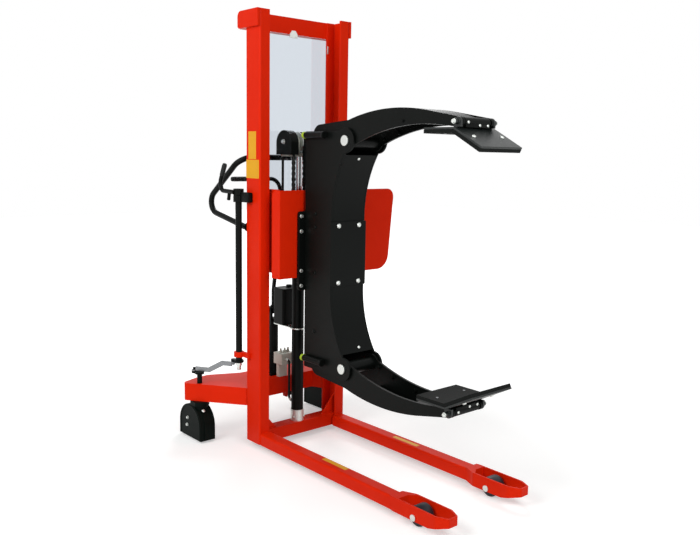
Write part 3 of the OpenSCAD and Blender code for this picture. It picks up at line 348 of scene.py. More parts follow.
# %% [markdown]
# ## Plates with broken edges
# No edge of a real weldment is sharp: plates are ground, castings are rounded and the
# powder draws back from corners, so each edge catches a thin line of light. We could
# bevel in the CAD, but that makes heavy solids. Instead a copy of the CAD mesh is merged
# and its flat faces are joined, and a Bevel modifier rounds what turns by more than 30
# degrees. The uprights are rolled channels, so their long outer corners are rounded
# first, by 8 mm. The copy stands for the CAD piece and rides with it.

# %% Rounded copies of CAD pieces
long_edge, outer_side, rolled_corner = 0.9, 0.255, 8


def break_edges(mesh, edges, width, segments):
    bmesh.ops.bevel(mesh, geom=edges, offset=width / 1000, segments=segments, affect="EDGES",
                    profile=0.5, material=-1)


def merged_copy(name):
    mesh = bmesh.new()
    mesh.from_mesh(nodes[name].data)
    bmesh.ops.remove_doubles(mesh, verts=mesh.verts, dist=same_point)
    bmesh.ops.dissolve_limit(mesh, angle_limit=math.radians(0.3), verts=mesh.verts,
                             edges=mesh.edges)
    return mesh


def rounded_copy(name, width, cut=None, keep=1, tag="", material=None):
    mesh = merged_copy(name)
    if name.endswith("upright"):
        outer = [edge for edge in mesh.edges if edge.calc_length() > long_edge
                 and all(abs(vert.co.y - mast_middle) > outer_side for vert in edge.verts)]
        break_edges(mesh, outer, rolled_corner, 4)
    if cut:
        bmesh.ops.bisect_plane(mesh, geom=mesh.verts[:] + mesh.edges[:] + mesh.faces[:],
                               dist=same_point, plane_co=cut[0], plane_no=cut[1] * keep,
                               clear_inner=True)
        bmesh.ops.holes_fill(mesh, edges=mesh.edges)
    finish = material or wears.get(name, black_powder)
    piece = finish_piece(name + tag + "_skin", mesh, finish, rides_on[name], slot_of[name],
                         name, sharp=0)
    edge = piece.modifiers.new("broken_edges", "BEVEL")
    edge.width, edge.segments, edge.limit_method = width / 1000, 2, "ANGLE"
    edge.angle_limit = math.radians(30)
    flat = piece.modifiers.new("flat_plates", "WEIGHTED_NORMAL")
    flat.weight = 100


print("tools ready: break_edges, merged_copy, rounded_copy")

# %% [markdown]
# Thick plates are ground to about 1.6 mm, turned and cast parts to 1 mm, and the thin
# clips of the guard to half a millimetre.

# %% Rounded copies, by the width of their edges in millimetres
edge_widths = {
    1.6: """right_upright left_upright top_beam base_crossbar right_leg left_leg rear_deck
        front_shield rotator_flange column_cheeks cover_plate column_back upper_arm lower_arm
        upper_pad lower_pad oil_tank left_caster chain_case front_skin carriage_frame""",
    1.0: """valve_block pump_body yoke foot_pedal foot_sleeve lift_barrel rotator_hub
        clamp_barrel upper_pad_rubber lower_pad_rubber clamp_rod piston_rod load_axles
        pivot_pins upper_rollers lower_rollers steering_link""",
    0.5: "guard_clips",
}
for width, names in edge_widths.items():
    for name in names.split():
        rounded_copy(name, width)
    print(len(names.split()), "CAD pieces with edges of", width, "mm")

# %% [markdown]
# Three CAD pieces hold two finishes: the brackets of the steering column are red below
# and black above, the clamps on the lift barrel are zinc below and black above, and the
# handwheel is black plastic on a zinc shaft. Two materials on one mesh would need faces
# picked by hand, so each is cut in two by a plane. Three more are cut where a piece with
# more detail takes over: the port tubes' plugs, and the bolts on the near caster and on
# the cover of the chain wheels.

# %% Pieces cut by a plane
upward, forward, across = Vector((0, 0, 1)), Vector((1, 0, 0)), Vector((0, 1, 0))
for name, height, lower in (("column_brackets", 1000, red_powder),
                            ("barrel_brackets", 900, zinc_plate)):
    plane = (at(0, 0, height), upward)
    rounded_copy(name, 1.0, plane, 1, "_upper", black_powder)
    rounded_copy(name, 1.0, plane, -1, "_lower", lower)
rounded_copy("handwheel", 0.5, (at(-20, 0, 0), forward), 1, "_shaft", zinc_plate)
rounded_copy("port_tubes", 1.0, (at(145.1, 0, 0), forward))
rounded_copy("right_caster", 1.6, (at(0, -423.6, 0), across))
rounded_copy("sheave_guard", 1.6, (at(0, -88.1, 0), across))
print("cut: column_brackets, barrel_brackets, handwheel, port_tubes, right_caster, sheave_guard")

# %% [markdown]
# ## Bent tube and turned parts
# The handles are steel tube bent round a die: straight runs with arcs of one radius at
# each corner. A curve object with a round section would do, but its bends aren't true
# arcs. So we draw one ring, pull it along the run and spin it through the bend, the way
# a tube bender does. Wheels, caps and knobs come off a lathe, so they are a profile spun
# round an axis. A profile is a list of distances along the axis and radii, and one that
# is alike at both ends is written only once.

# %% Tube and lathe
def edges_of(verts):
    return list(dict.fromkeys(edge for vert in verts for edge in vert.link_edges))


def with_verts(edges):
    return edges + list(dict.fromkeys(vert for edge in edges for vert in edge.verts))


def pull(mesh, edges, move):
    made = bmesh.ops.extrude_edge_only(mesh, edges=edges)["geom"]
    verts = [item for item in made if isinstance(item, bmesh.types.BMVert)]
    bmesh.ops.translate(mesh, verts=verts, vec=move)
    return [item for item in made
            if isinstance(item, bmesh.types.BMEdge) and all(v in verts for v in item.verts)]


def close_ends(mesh):
    bmesh.ops.holes_fill(mesh, edges=[edge for edge in mesh.edges if edge.is_boundary])


def tube(mesh, path, bends, radius, sides=20):
    corners = [at(*point) for point in path]
    here, along = corners[0], (corners[1] - corners[0]).normalized()
    facing = upward.rotation_difference(along).to_matrix().to_4x4()
    ring = bmesh.ops.create_circle(mesh, segments=sides, radius=radius / 1000,
                                   matrix=Matrix.Translation(here) @ facing)["verts"]
    edges = edges_of(ring)
    for corner, beyond, bend in zip(corners[1:], corners[2:], bends):
        leave = (beyond - corner).normalized()
        angle = along.angle(leave)
        reach = bend / 1000 * math.tan(angle / 2)
        edges = pull(mesh, edges, corner - along * reach - here)
        inward = (leave - along * leave.dot(along)).normalized()
        turned = bmesh.ops.spin(
            mesh, geom=with_verts(edges), angle=angle, axis=along.cross(leave).normalized(),
            cent=corner - along * reach + inward * bend / 1000,
            steps=max(3, round(math.degrees(angle) / 7)))
        edges = [item for item in turned["geom_last"] if isinstance(item, bmesh.types.BMEdge)]
        here, along = corner + leave * reach, leave
    pull(mesh, edges, corners[-1] - here)
    close_ends(mesh)


def both_ends(half):
    return half + [(-along, radius) for along, radius in reversed(half)]


def lathe(mesh, profile, centre, axis, sides=48, loop=False):
    middle, axis = at(*centre), Vector(axis).normalized()
    outward = axis.orthogonal().normalized()
    verts = [mesh.verts.new(middle + (axis * a + outward * r) / 1000) for a, r in profile]
    pairs = list(zip(verts, verts[1:])) + ([(verts[-1], verts[0])] if loop else [])
    edges = [mesh.edges.new(pair) for pair in pairs]
    bmesh.ops.spin(mesh, geom=verts + edges, cent=middle, axis=axis, angle=math.tau,
                   steps=sides, use_merge=True)


print("tools ready: tube, lathe")

# %% [markdown]
# A screw head is a short turned profile. The domed kind is a button head with a round
# socket, the other a washer under a six-sided nut. A slab is a cube stretched between
# two corners, with its edges broken.

# %% Screw heads and slabs
def domed_head(mesh, spot, axis, r):
    lathe(mesh, [(0, r), (0.22 * r, r), (0.42 * r, 0.85 * r), (0.56 * r, 0.6 * r),
                 (0.6 * r, 0.42 * r), (0.36 * r, 0.38 * r), (0.36 * r, 0)], spot, axis, 20)


def hex_head(mesh, spot, axis, r):
    lathe(mesh, [(0, r), (0.2 * r, r), (0.24 * r, 0.8 * r), (0.24 * r, 0)], spot, axis, 20)
    facing = upward.rotation_difference(Vector(axis)).to_matrix().to_4x4()
    push = Matrix.Translation(at(*spot) + Vector(axis).normalized() * 0.52 * r / 1000)
    bmesh.ops.create_cone(mesh, cap_ends=True, segments=6, radius1=0.86 * r / 1000,
                          radius2=0.8 * r / 1000, depth=0.6 * r / 1000, matrix=push @ facing)


def slab(mesh, low, high, edge=0, segments=1):
    size = Matrix.Diagonal([(b - a) / 1000 for a, b in zip(low, high)] + [1])
    middle = Matrix.Translation(at(*((a + b) / 2 for a, b in zip(low, high))))
    verts = bmesh.ops.create_cube(mesh, size=1, matrix=middle @ size)["verts"]
    if edge:
        break_edges(mesh, edges_of(verts), edge, segments)


print("tools ready: domed_head, hex_head, slab")

# %% [markdown]
# ## The guard sheet
# The sheet keeps hands out of the chains and is screwed against the uprights' rear
# flanges. Two faces in one place render as black patches, so a hair of air stays
# between sheet and steel, and light passes the sheet before it meets the paint.

# %% Guard sheet
mesh = bmesh.new()
slab(mesh, (-113, -233.5, 1100), (-109.4, 233.5, 1915), 0.5)
finish_piece("guard_sheet", mesh, clear_sheet, "chassis", slot_of["guard_panel"],
             "guard_panel", sharp=30)
print("guard sheet 467 x 815 mm")

# %% [markdown]
# ## Push handle
# The handle is one 27 mm tube, bent six times and welded to plates on the uprights.
# Its far half mirrors the near one, so only one half of the path is written. A weld
# runs round each end.

# %% Push handle
mesh = bmesh.new()
near = [(-109, -243, 1034), (-139, -243, 1034), (-503.26, -243, 1104), (-170, -243, 1351)]
far = [(x, -y, z) for x, y, z in reversed(near)]
tube(mesh, near + far, [60, 53, 70, 70, 53, 60], 13.5, 24)
for y in (-243, 243):
    lathe(mesh, [(0, 0), (0, 21), (2.5, 21), (5, 16.5), (7, 13.5)], (-109, y, 1034), (-1, 0, 0), 28)
finish_piece("push_handle_tube", mesh, black_powder, "chassis", slot_of["push_handle"],
             "push_handle")
print("push handle: a tube through", len(near + far), "points")

# %% [markdown]
# ## Pump lever
# The lever is 20 mm tube that turns on an eye at its foot and ends in a cross grip. The
# grip is moulded over the tube with ribs that keep a hand from slipping. The ribs are
# steps in a turned profile, so they are real and catch the light.

# %% Pump lever and its ribbed grip
foot = (-250, 0, 600)
mesh = bmesh.new()
tube(mesh, [(-250, 0, 614), (-250, 0, 700), (-330, 95, 980), (-330, 95, 1245), (-330, -190, 1245)],
     [60, 60, 60], 10, 20)
lathe(mesh, both_ends([(-17.7, 10.1), (-17.7, 18.5), (-16, 20)]), foot, (0, 1, 0), 36, loop=True)
lathe(mesh, [(-4, 10), (0, 16), (5, 10)], (-250, 0, 620), (0, 0, 1), 20)
finish_piece("pump_lever_tube", mesh, black_powder, "pump_lever", slot_of["pump_lever"],
             "pump_lever")
mesh = bmesh.new()
one_rib = ((0, 11.4), (1.2, 12), (3.2, 12), (4.4, 11.4))
ribs = [(6 + 5 * i + step, r) for i in range(20) for step, r in one_rib]
collar = [(0, 9), (0, 12.5), (2, 13.5), (5, 13.5)]
cap = [(108, 11.4), (116, 11.4), (120, 10), (122, 6), (122.5, 0)]
lathe(mesh, collar + ribs + cap, (-330, -70, 1245), (0, -1, 0), 20)
finish_piece("pump_lever_grip", mesh, grip_plastic, "pump_lever", "rubber")
print("pump lever with", len(ribs) // len(one_rib), "ribs on its grip")

# %% [markdown]
# ## Steering column
# The column stands in two brackets beside the near upright. It carries a bent lever on
# top, and below the lower bracket a short arm that pulls the caster's link. Post and
# collars are one turned profile, the arm is a plate pulled up from four corners, and
# its joint is a small turned pin.

# %% Steering post, lever, arm and grip
post = (-138, -276.5, 0)
arm_low, arm_thick = 398, 12
foot_disc = [(398, 0), (398, 20.5), (399.5, 22), (408.5, 22), (410, 20.5)]
shaft = [(410, 15), (1178.3, 15)]
top_collar = [(1178.3, 22.5), (1180, 24), (1206.6, 24), (1208.3, 22.5)]
end_hole = [(1208.3, 11), (1206, 9), (1206, 0)]
mesh = bmesh.new()
lathe(mesh, foot_disc + shaft + top_collar + end_hole, post, (0, 0, 1), 32)
lever = [(-138, -300.5, 1193), (-244, -300.5, 1196), (-254, -300.5, 1236), (-214, -300.5, 1318)]
tube(mesh, lever, [24, 40], 10)
lathe(mesh, [(0, 0), (0, 8), (38, 8), (40, 6), (40, 0)], (-176, -300.5, 1194), (-0.2, 0, -1), 20)
arm = Vector((-31, -11, 0)).normalized() * 33
half = Vector((-arm.y, arm.x, 0)).normalized() * 11
corners = [Vector(post) + half, Vector(post) + arm + half, Vector(post) + arm - half,
           Vector(post) - half]
base = mesh.faces.new([mesh.verts.new(at(corner.x, corner.y, arm_low)) for corner in corners])
raised = bmesh.ops.extrude_face_region(mesh, geom=[base])["geom"]
bmesh.ops.translate(mesh, verts=[item for item in raised if isinstance(item, bmesh.types.BMVert)],
                    vec=(0, 0, arm_thick / 1000))
lathe(mesh, [(382, 0), (382, 5), (383, 6), (398, 6), (398, 11), (399, 12), (409, 12), (410, 11),
             (410, 0)], (-169, -287.5, 0), (0, 0, 1), 24)
finish_piece("steering_post", mesh, black_powder, "steering_column",
             slot_of["steering_column"], "steering_column")
mesh = bmesh.new()
tip = Vector((40, 0, 82)).normalized() * 58
lathe(mesh, [(0, 9), (0, 10.8), (3, 11.4), (50, 11.4), (56, 10), (60, 6), (61, 0)],
      (-214 - tip.x, -300.5, 1318 - tip.z), tip, 24)
finish_piece("steering_grip", mesh, grip_plastic, "steering_column", "rubber")
print("steering column: post, lever, arm and grip")

# %% [markdown]
# ## Pressure hose
# A short hose leads from the valve block down to the lift barrel's foot. It is 12 mm
# thick and bent by its fittings, so it is drawn as the handles are. A pressed ferrule
# closes each end.

# %% Pressure hose
hose_path = [(-118, -12, 372), (-100, -12, 372), (-100, -12, 180), (-79, -12, 180)]
mesh = bmesh.new()
tube(mesh, hose_path, [16, 16], 6, 16)
finish_piece("pressure_hose_tube", mesh, hose_rubber, "chassis", slot_of["pressure_hose"],
             "pressure_hose")
mesh = bmesh.new()
for spot, axis in ((hose_path[0], (1, 0, 0)), (hose_path[-1], (-1, 0, 0))):
    lathe(mesh, [(-2, 0), (-2, 9), (3, 9), (3, 7.6), (12, 7.6), (13, 6)], spot, axis, 20)
finish_piece("hose_ends", mesh, zinc_plate, "chassis", "zinc")
print("pressure hose with two ferrules")

# %% [markdown]
# ## Foot and bracket of the steering column
# A zinc nut holds the column up from below, and a block behind the upper bracket clamps
# it to the upright.

# %% Foot nut and bracket block
mesh = bmesh.new()
lathe(mesh, [(-36, 0), (-36, 8), (-34, 9.5), (-15, 9.5), (-14, 13), (0.5, 13)],
      (-138, -276.5, 398), (0, 0, 1), 28)
finish_piece("steering_foot_nut", mesh, zinc_plate, "steering_column", "zinc")
mesh = bmesh.new()
slab(mesh, (-112, -284, 1149), (-54, -255.6, 1194), 5, 3)
finish_piece("column_bracket_block", mesh, black_powder, "chassis", "black_paint")
print("foot nut and bracket block placed")

# %% [markdown]
# ## Wheels
# A load wheel is a polyurethane tread cast on a steel core with a bearing in each end.
# The tread's shoulders are rounded so that it rolls over a seam. The caster wheel has a
# cast core with a thin web between rim and hub. Both come from turned profiles, because
# that is how the moulds were made.

# %% Load wheels and caster wheels
load_hub, caster_hub = (995, 209.5, 40), (-342, 384, 75)
wheels = {
    "_load_wheel": (
        load_hub, [(-28, 19), (-28, 34.5), (-25.6, 38.6), (-21, 40)], 64,
        [(-27.4, 10.1), (-27.4, 13), (-26, 13.6), (-26, 17), (-27.4, 17.6), (-27.4, 19.2)],
        ground_steel, "steel"),
    "_caster_wheel": (
        caster_hub, [(-23, 55), (-23, 65.5), (-20.5, 71.5), (-15, 75)], 72,
        [(-21, 55.2), (-21, 50), (-18, 48), (-6, 45), (-6, 27), (-19, 24), (-22, 22), (-22, 10.1)],
        grey_enamel, "grey_casting"),
}
for word, way in (("right", -1), ("left", 1)):
    for kind, ((x, y, z), tread, sides, core, core_finish, core_slot) in wheels.items():
        body = word + kind
        mesh = bmesh.new()
        lathe(mesh, both_ends(tread), (x, way * y, z), (0, 1, 0), sides, loop=True)
        finish_piece(body + "_tread", mesh, tyre, body, slot_of[body], body)
        mesh = bmesh.new()
        lathe(mesh, both_ends(core), (x, way * y, z), (0, 1, 0), 48, loop=True)
        finish_piece(body + "_core", mesh, core_finish, body, core_slot)
        print(body, "is", 2 * z, "mm across")

# %% [markdown]
# ## Crank wheel
# The crank wheel that turns the clamp is moulded black plastic. Its rim is a circle
# turned round the shaft, its three spokes are tapered rods, and the knob spins on its
# own pin near the rim, so it is a piece by itself.

# %% Crank wheel and knob
turn_z = 938  # height of the clamp's turning axis and of the crank
crank = (-35, 374, turn_z)
section_r, rim_r = 8, 80
mesh = bmesh.new()
rim = [(section_r * math.sin(a), rim_r + section_r * math.cos(a))
       for a in (math.tau * i / 14 for i in range(14))]
lathe(mesh, rim, crank, (1, 0, 0), 64, loop=True)
lathe(mesh, [(-14, 0), (-14, 18), (-11, 22), (8, 22), (12, 19), (12, 10.2)], crank, (1, 0, 0), 32)
for angle in (90, 210, 330):
    spoke = Vector((0, -math.sin(math.radians(angle)), math.cos(math.radians(angle))))
    lathe(mesh, [(14, 8.5), (34, 6.5), (76, 6)], crank, spoke, 16)
finish_piece("handwheel_rim", mesh, grip_plastic, "handwheel", slot_of["handwheel"], "handwheel")
mesh = bmesh.new()
lathe(mesh, [(0, 5), (8, 5), (8, 8), (12, 10.5), (34, 11), (48, 10), (56, 7.5), (60, 0)],
      (-35, 374, turn_z + rim_r), (-1, 0, 0), 28)
finish_piece("handwheel_knob", mesh, grip_plastic, "handwheel", "black_paint")
print("crank wheel", 2 * (rim_r + section_r), "mm across")

# %% [markdown]
# ## Collars and plugs of the port tubes
# The clamp's hose can be joined to two port tubes. Each ends in a collar, and its open
# rear end is closed by a ribbed polythene plug, pushed in by hand.

# %% Port collars and plugs
port_y, port_heights = -113, (453, 1451)
mesh = bmesh.new()
for z in port_heights:
    lathe(mesh, [(0, 13), (0, 15.2), (1, 16), (11, 16), (12, 15.2), (12, 10), (4, 9), (4, 0)],
          (264, port_y, z), (1, 0, 0), 28)
finish_piece("port_collars", mesh, black_powder, "turntable", "black_paint")
mesh = bmesh.new()
one_rib = ((0, 13.8), (0.6, 15), (1.6, 15), (2.2, 13.8))
ribs = [(3 + 2.5 * i + step, r) for i in range(4) for step, r in one_rib]
for z in port_heights:
    lathe(mesh, [(-0.2, 0), (-0.2, 13), (0.8, 14), (2.6, 14)] + ribs + [(14.4, 13.8), (14.4, 0)],
          (131, port_y, z), (1, 0, 0), 28)
finish_piece("port_plugs", mesh, plug_plastic, "turntable", "rubber")
print(len(port_heights), "port tubes get a collar and a plug")

# %% [markdown]
# ## Lift chain and clamp hose
# A leaf chain is nothing but plates on pins: here four outer and three inner plates by
# turns, with a pitch of about 12.7 mm. A pattern on a strip would look flat, so each
# plate is a real one, with few faces, because there are hundreds. Beside the chain the
# clamp's hose runs over its own sheave. As the piston rises, chain and hose pass from
# one side of the wheels to the other. Each straight run here is one fixed piece, on no
# body.

# %% Chain plates and pins
plate_r, plate_thick = 0.0104, 0.0021
pin_r, pin_long, pin_up = 0.0023, 0.0184, 0.0064  # a pin sits half a pitch above its plates


def chain(mesh, places):
    lying = Matrix.Rotation(math.pi / 2, 4, "X")
    slim = Matrix.Diagonal((0.44, 1.02, 1, 1))
    for count, (x, z, lean) in enumerate(places):
        place = Matrix.Translation(at(x, 0, z)) @ Matrix.Rotation(lean, 4, "Y")
        for y in ((-7.4, -2.5, 2.5, 7.4) if count % 2 else (-4.9, 0, 4.9)):
            flat = Matrix.Translation((0, y / 1000, 0)) @ lying @ slim
            bmesh.ops.create_cone(mesh, cap_ends=True, segments=8, radius1=plate_r,
                                  radius2=plate_r, depth=plate_thick, matrix=place @ flat)
        pin = Matrix.Translation((0, 0, pin_up)) @ lying
        bmesh.ops.create_cone(mesh, cap_ends=True, segments=8, radius1=pin_r,
                              radius2=pin_r, depth=pin_long, matrix=place @ pin)


def stretched(name, mesh, material, slot, body, x, bottom, *replaced):
    piece = finish_piece(name, mesh, material, None, slot, *replaced, sharp=30)
    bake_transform(piece)


wheel_x, wheel_z, wrap_r = -50, 1424, 42  # chain wheel's centre, chain's radius on it
hose_y, hose_r = -62, 6
print("chain wheel at", wheel_z, "mm,", 2 * wrap_r, "mm from run to run")

# %% [markdown]
# The rear run is fixed to the mast, and the front one pulls the carriage.

# %% Runs and wraps
runs = (("fixed", "chassis", wheel_x - wrap_r, 1000, 1006.4, 12.85, 33),
        ("load", "carriage", wheel_x + wrap_r, 906, 912.3, 12.63, 41))
for word, body, x, bottom, first, pitch, count in runs:
    mesh = bmesh.new()
    chain(mesh, [(x, first + pitch * i, 0) for i in range(count)])
    stretched(word + "_chain", mesh, oiled_chain, "chain", body, x, bottom, word + "_strands")
    mesh = bmesh.new()
    tube(mesh, [(x, hose_y, bottom), (x, hose_y, wheel_z)], [], hose_r, 16)
    stretched(word + "_hose", mesh, hose_rubber, "rubber", body, x, bottom)
    print(word, "run:", count, "links and", wheel_z - bottom, "mm of hose")
mesh = bmesh.new()
arc = [math.pi * (i + 0.5) / 10 for i in range(10)]
chain(mesh, [(wheel_x - wrap_r * math.cos(a), wheel_z + wrap_r * math.sin(a), a) for a in arc])
finish_piece("chain_wrap", mesh, oiled_chain, "piston", "chain", "strand_wraps", sharp=30)
mesh = bmesh.new()
tube(mesh, [(-92, hose_y, 1423), (-92, hose_y, 1466), (-8, hose_y, 1466), (-8, hose_y, 1423)],
     [41.9, 41.9], hose_r, 16)
finish_piece("hose_wrap", mesh, hose_rubber, "piston", "rubber")
print("over the wheels:", len(arc), "links and the hose's half turn")

# %% [markdown]
# ## Screws of the clamp column
# Four domed screws hold the cover, eight hexagon ones the flange, and two more close the
# curved front skin. The cheek's five and the arm's one are blackened. Heads are small,
# but a bolted machine without them looks like a toy, so each is a turned shape.

# %% Screws of the clamp column
cover_x, flange_x, cheek_y = 313, 125, -97
mesh = bmesh.new()
for z in (-125, 125):
    for y in (-58, 58):
        domed_head(mesh, (cover_x, y, turn_z + z), (1, 0, 0), 11)
for z in (-157, -89, 89, 157):
    for y in (-117, 117):
        hex_head(mesh, (flange_x, y, turn_z + z), (1, 0, 0), 9)
for spot, slope in (((376.6, -6, 1352), (0.86, 0, -0.51)), ((374.6, 15, 527), (0.86, 0, 0.5))):
    domed_head(mesh, spot, slope, 7)
finish_piece("turntable_screws", mesh, zinc_plate, "turntable", slot_of["clamp_bolts"],
             "clamp_bolts")
mesh = bmesh.new()
for z in (-357, -91, 112, 172):
    domed_head(mesh, (197, cheek_y, turn_z + z), (0, -1, 0), 9)
domed_head(mesh, (364.7, cheek_y, 1327.7), (0, -1, 0), 7)
finish_piece("cheek_screws", mesh, black_powder, "turntable", "black_paint")
mesh = bmesh.new()
hex_head(mesh, (717, -85, 1501.7), (0, -1, 0), 7)
finish_piece("arm_screw", mesh, black_powder, "upper_arm", "black_paint")
print("clamp column: 14 zinc screws, 5 black ones, 1 in the arm")

# %% [markdown]
# ## Pad bearings
# Each pad hangs on a pin in a bearing block between the arm's plates. A nut closes each
# end of the pin, two screws hold the folded wing, three the block, and two more clamp
# the rubber sheet. The lower pad is the upper one upside down, so one loop makes both,
# with `flip` turning what points down into what points up.

# %% Pad bearings, nuts and screws
wing_fold = math.radians(28)
rubber_face = 40.8  # from the pin to just under the rubber's face
for word, x, z, flip in (("upper", 1005, 1493, 1), ("lower", 1007.3, 409.8, -1)):
    body = word + "_pad"
    mesh = bmesh.new()
    lathe(mesh, both_ends([(-70, 10), (-70, 15), (-68, 17)]), (x, 0, z), (0, 1, 0), 32, loop=True)
    bottom, top = (z - 20.5, z) if flip > 0 else (z, z + 20.5)
    slab(mesh, (x - 15, -66, bottom), (x + 15, 66, top), 1.5, 2)
    finish_piece(word + "_pad_bearing", mesh, black_powder, body, "black_paint", sharp=35)
    mesh = bmesh.new()
    for way in (-1, 1):
        hex_head(mesh, (x, way * 115, z), (0, way, 0), 9)
        outward = (math.sin(wing_fold), 0, flip * math.cos(wing_fold))
        domed_head(mesh, (x + 64, way * 79, z - flip * 53.5), outward, 8)
    for out, y, drop in ((17, -56, 2), (15, 10, 12), (15, 55, 12)):
        domed_head(mesh, (x + out, y, z - flip * drop), (1, 0, 0), 6)
    finish_piece(word + "_pad_nuts", mesh, zinc_plate, body, "zinc")
    mesh = bmesh.new()
    for y in (-78, 78):
        domed_head(mesh, (x - 73, y, z - flip * rubber_face), (0, 0, -flip), 5.5)
    finish_piece(word + "_pad_screws", mesh, ground_steel, body, "zinc")
    print(word, "pad hangs on its pin at", z, "mm")

# %% [markdown]
# ## Caster guards
# The guards keep feet out from under the wheels. Each is a domed box with a beaded rim
# on both sides and a rib that runs up over its nose. The beads are tube bent along the
# dome, and the rib is a short profile pulled up and then spun about the wheel's axle.

# %% Caster screws, rims and ribs
mesh = bmesh.new()
for x, z in ((-362, 101.6), (-367, 65.2)):
    hex_head(mesh, (x, -423.5, z), (0, -1, 0), 8)
domed_head(mesh, (-266.8, -394, 152.2), (0.669, 0, 0.743), 8.5)
finish_piece("caster_screws", mesh, zinc_plate, "right_caster", "zinc")

axle_x, axle_y, axle_z = caster_hub
rib_profile = ((-245, 364), (-239, 366), (-239, 402), (-245, 404))
rib_low, rib_rise, rib_turn = 13, 62, math.radians(42)
for word, way in (("right", -1), ("left", 1)):
    mesh = bmesh.new()
    for y in (way * (axle_y - 38), way * (axle_y + 38)):
        tube(mesh, [(-433, y, 12), (-433, y, 166), (-251, y, 166), (-251, y, 12)],
             [90.9, 90.9], 4.5, 12)
    corners = [mesh.verts.new(at(x, way * y, rib_low)) for x, y in rib_profile]
    edges = [mesh.edges.new((corners[i], corners[i - 1])) for i in range(4)]
    edges = pull(mesh, edges, (0, 0, rib_rise / 1000))
    bmesh.ops.spin(mesh, geom=with_verts(edges), cent=at(axle_x, way * axle_y, axle_z),
                   axis=(0, -1, 0), angle=rib_turn, steps=10)
    close_ends(mesh)
    finish_piece(word + "_guard_rim", mesh, guard_powder, word + "_caster", "black_paint")
    print(word, "guard has its rims and rib")

# %% [markdown]
# ## Cover of the chain wheels
# One hexagon screw on the wheels' own axis holds their cover, so it rides up with the
# piston.

# %% Screw of the wheels' cover
mesh = bmesh.new()
hex_head(mesh, (wheel_x, -88, wheel_z), (0, -1, 0), 11)
finish_piece("guard_screw", mesh, zinc_plate, "piston", "zinc")
print("cover screw at", wheel_z, "mm")

# %% [markdown]
# ## Label places
# The machine has yellow film on the near upright and on both legs. It is half a
# millimetre of vinyl, so it is a thin slab on the paint, and it stays bare.

# %% Bare label films
films = (((-88, -255.9, 1343), (-29, -255.4, 1465)), ((-106, -255.9, 1258), (-6, -255.4, 1340)),
         ((414, -220, 78.9), (566, -198, 79.4)), ((407, 205, 78.9), (562, 227, 79.4)))
mesh = bmesh.new()
for low, high in films:
    slab(mesh, low, high)
finish_piece("label_films", mesh, label_film, "chassis", "red_paint", sharp=30)
print(len(films), "label films")

# %% [markdown]
# ## Weld beads
# Plates are joined by fillet welds, laid in short overlapping ripples about 3 mm apart.
# Each bead is a ripple profile turned about the seam, half of it sunk in the steel, and
# is painted with the rest.

# %% Weld beads
ripple_step = 3


def weld(mesh, start, end, size=3.4):
    run = Vector(end) - Vector(start)
    count = int(run.length // ripple_step)
    ripple = [(ripple_step * i + step, size * r) for i in range(count)
              for step, r in ((0, 0.82), (1.2, 1.0), (2.2, 0.96))]
    lathe(mesh, [(0, 0)] + ripple + [(ripple_step * count, 0)], start, run, 10)


mesh = bmesh.new()
for way in (-1, 1):
    for y in (187.5, 251.5):
        weld(mesh, (0.3, way * y, 29), (0.3, way * y, 68))
    weld(mesh, (0.3, way * 198, 79), (0.3, way * 241, 79))
    weld(mesh, (-109, way * 256, 194), (-109, way * 256, 275))
    weld(mesh, (-100, way * 256, 1914.6), (-9, way * 256, 1914.6), 2.6)
    weld(mesh, (-31.6, way * 142, 85), (-31.6, way * 244, 85))
    weld(mesh, (-13, way * 247, 30), (-13, way * 247, 84))
print("weld beads of", len(mesh.faces), "faces")
finish_piece("weld_beads", mesh, red_powder, "chassis", "red_paint", sharp=60)

# %% [markdown]
# ## Floor and world
# The photograph has a plain white ground. White paint under strong lamps would flood
# the machine with light from below. So floor and world are white only to the camera, to
# mirrors and to glass, and light grey to all other light. Light Path tells which kind of
# ray asks.

# %% Rays that see white
def sees_white(tree):
    ray = add_node(tree, "ShaderNodeLightPath")
    mirror = add_node(tree, "ShaderNodeMath", {0: ray.outputs["Is Camera Ray"],
                                               1: ray.outputs["Is Glossy Ray"]},
                      operation="MAXIMUM")
    return add_node(tree, "ShaderNodeMath", {0: mirror.outputs[0],
                                             1: ray.outputs["Is Transmission Ray"]},
                    operation="MAXIMUM").outputs[0]


white = (1, 1, 1, 1)
print("white is for camera, glossy and transmission rays")

# %% [markdown]
# The floor is pale grey paint plus a glow that only those rays see. The glow is weak
# under the machine and grows outwards, so that the shadow there stays.

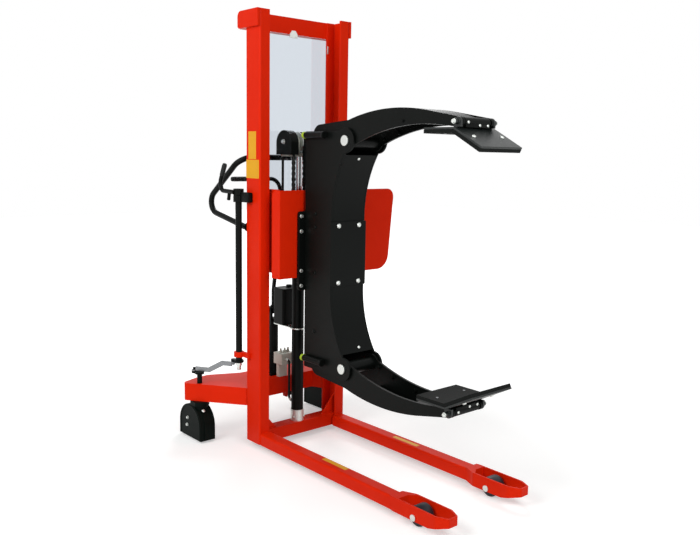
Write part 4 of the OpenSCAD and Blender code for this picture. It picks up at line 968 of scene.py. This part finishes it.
# %% Floor
pale, tree, surface = new_material("pale_floor")
surface.inputs["Base Color"].default_value = linear("#E4E4E2")
surface.inputs["Roughness"].default_value = 0.9
place = add_node(tree, "ShaderNodeTexCoord")
away = add_node(tree, "ShaderNodeVectorMath", {0: place.outputs["Object"]}, operation="LENGTH")
paler = add_node(tree, "ShaderNodeMapRange", {"Value": away.outputs["Value"]},
                 in_From_Min=0.9, in_From_Max=2.6, in_To_Min=0.38, in_To_Max=1.0)
glow = add_node(tree, "ShaderNodeEmission", {"Strength": paler.outputs["Result"]}, in_Color=white)
both = add_node(tree, "ShaderNodeAddShader", {0: surface.outputs[0], 1: glow.outputs[0]})
choice = add_node(tree, "ShaderNodeMixShader",
                  {0: sees_white(tree), 1: surface.outputs[0], 2: both.outputs[0]})
tree.links.new(choice.outputs[0], tree.nodes["Material Output"].inputs["Surface"])

mesh = bmesh.new()
bmesh.ops.create_grid(mesh, x_segments=1, y_segments=1, size=14)
floor = bpy.data.objects.new("floor", bpy.data.meshes.new("floor"))
mesh.to_mesh(floor.data)
mesh.free()
floor.data.materials.append(pale)
bpy.context.scene.collection.objects.link(floor)
print("floor laid")

# %% [markdown]
# The world is a dim, slightly cool sky, as a white room is away from its lamps.

# %% World
world = bpy.data.worlds.new("studio")
world.use_nodes = True
bpy.context.scene.world = world
tree = world.node_tree
sky = tree.nodes["Background"]
sky.inputs["Color"].default_value = (0.95, 0.97, 1.0, 1)
sky.inputs["Strength"].default_value = 0.27
backdrop = add_node(tree, "ShaderNodeBackground", in_Color=white, in_Strength=1.0)
choice = add_node(tree, "ShaderNodeMixShader",
                  {0: sees_white(tree), 1: sky.outputs[0], 2: backdrop.outputs[0]})
tree.links.new(choice.outputs[0], tree.nodes["World Output"].inputs["Surface"])
print("world lights with", round(sky.inputs["Strength"].default_value, 2))

# %% [markdown]
# ## Lamps
# The photograph's light is broad and comes from the near side, so the key lamp is a
# square two metres wide over there. A second one in front opens the dark clamp, and a
# third behind draws the edges of the mast. That one hangs high, out of what the clear
# guard shows.

# %% Three soft lamps
def soft_lamp(name, spot, aim, power, size):
    lamp = bpy.data.lights.new(name, "AREA")
    lamp.energy, lamp.size = power, size
    piece = bpy.data.objects.new(name, lamp)
    piece.location = at(*spot)
    piece.rotation_euler = (at(*aim) - at(*spot)).to_track_quat("-Z", "Y").to_euler()
    bpy.context.scene.collection.objects.link(piece)
    print(name, power, "W")


soft_lamp("key_lamp", (300, -3600, 2900), (0, 0, 900), 99, 2.2)
soft_lamp("front_lamp", (3600, -600, 2300), (0, 0, 900), 60, 2.0)
soft_lamp("rim_lamp", (-2200, 2400, 3900), (0, 0, 1000), 70, 1.8)
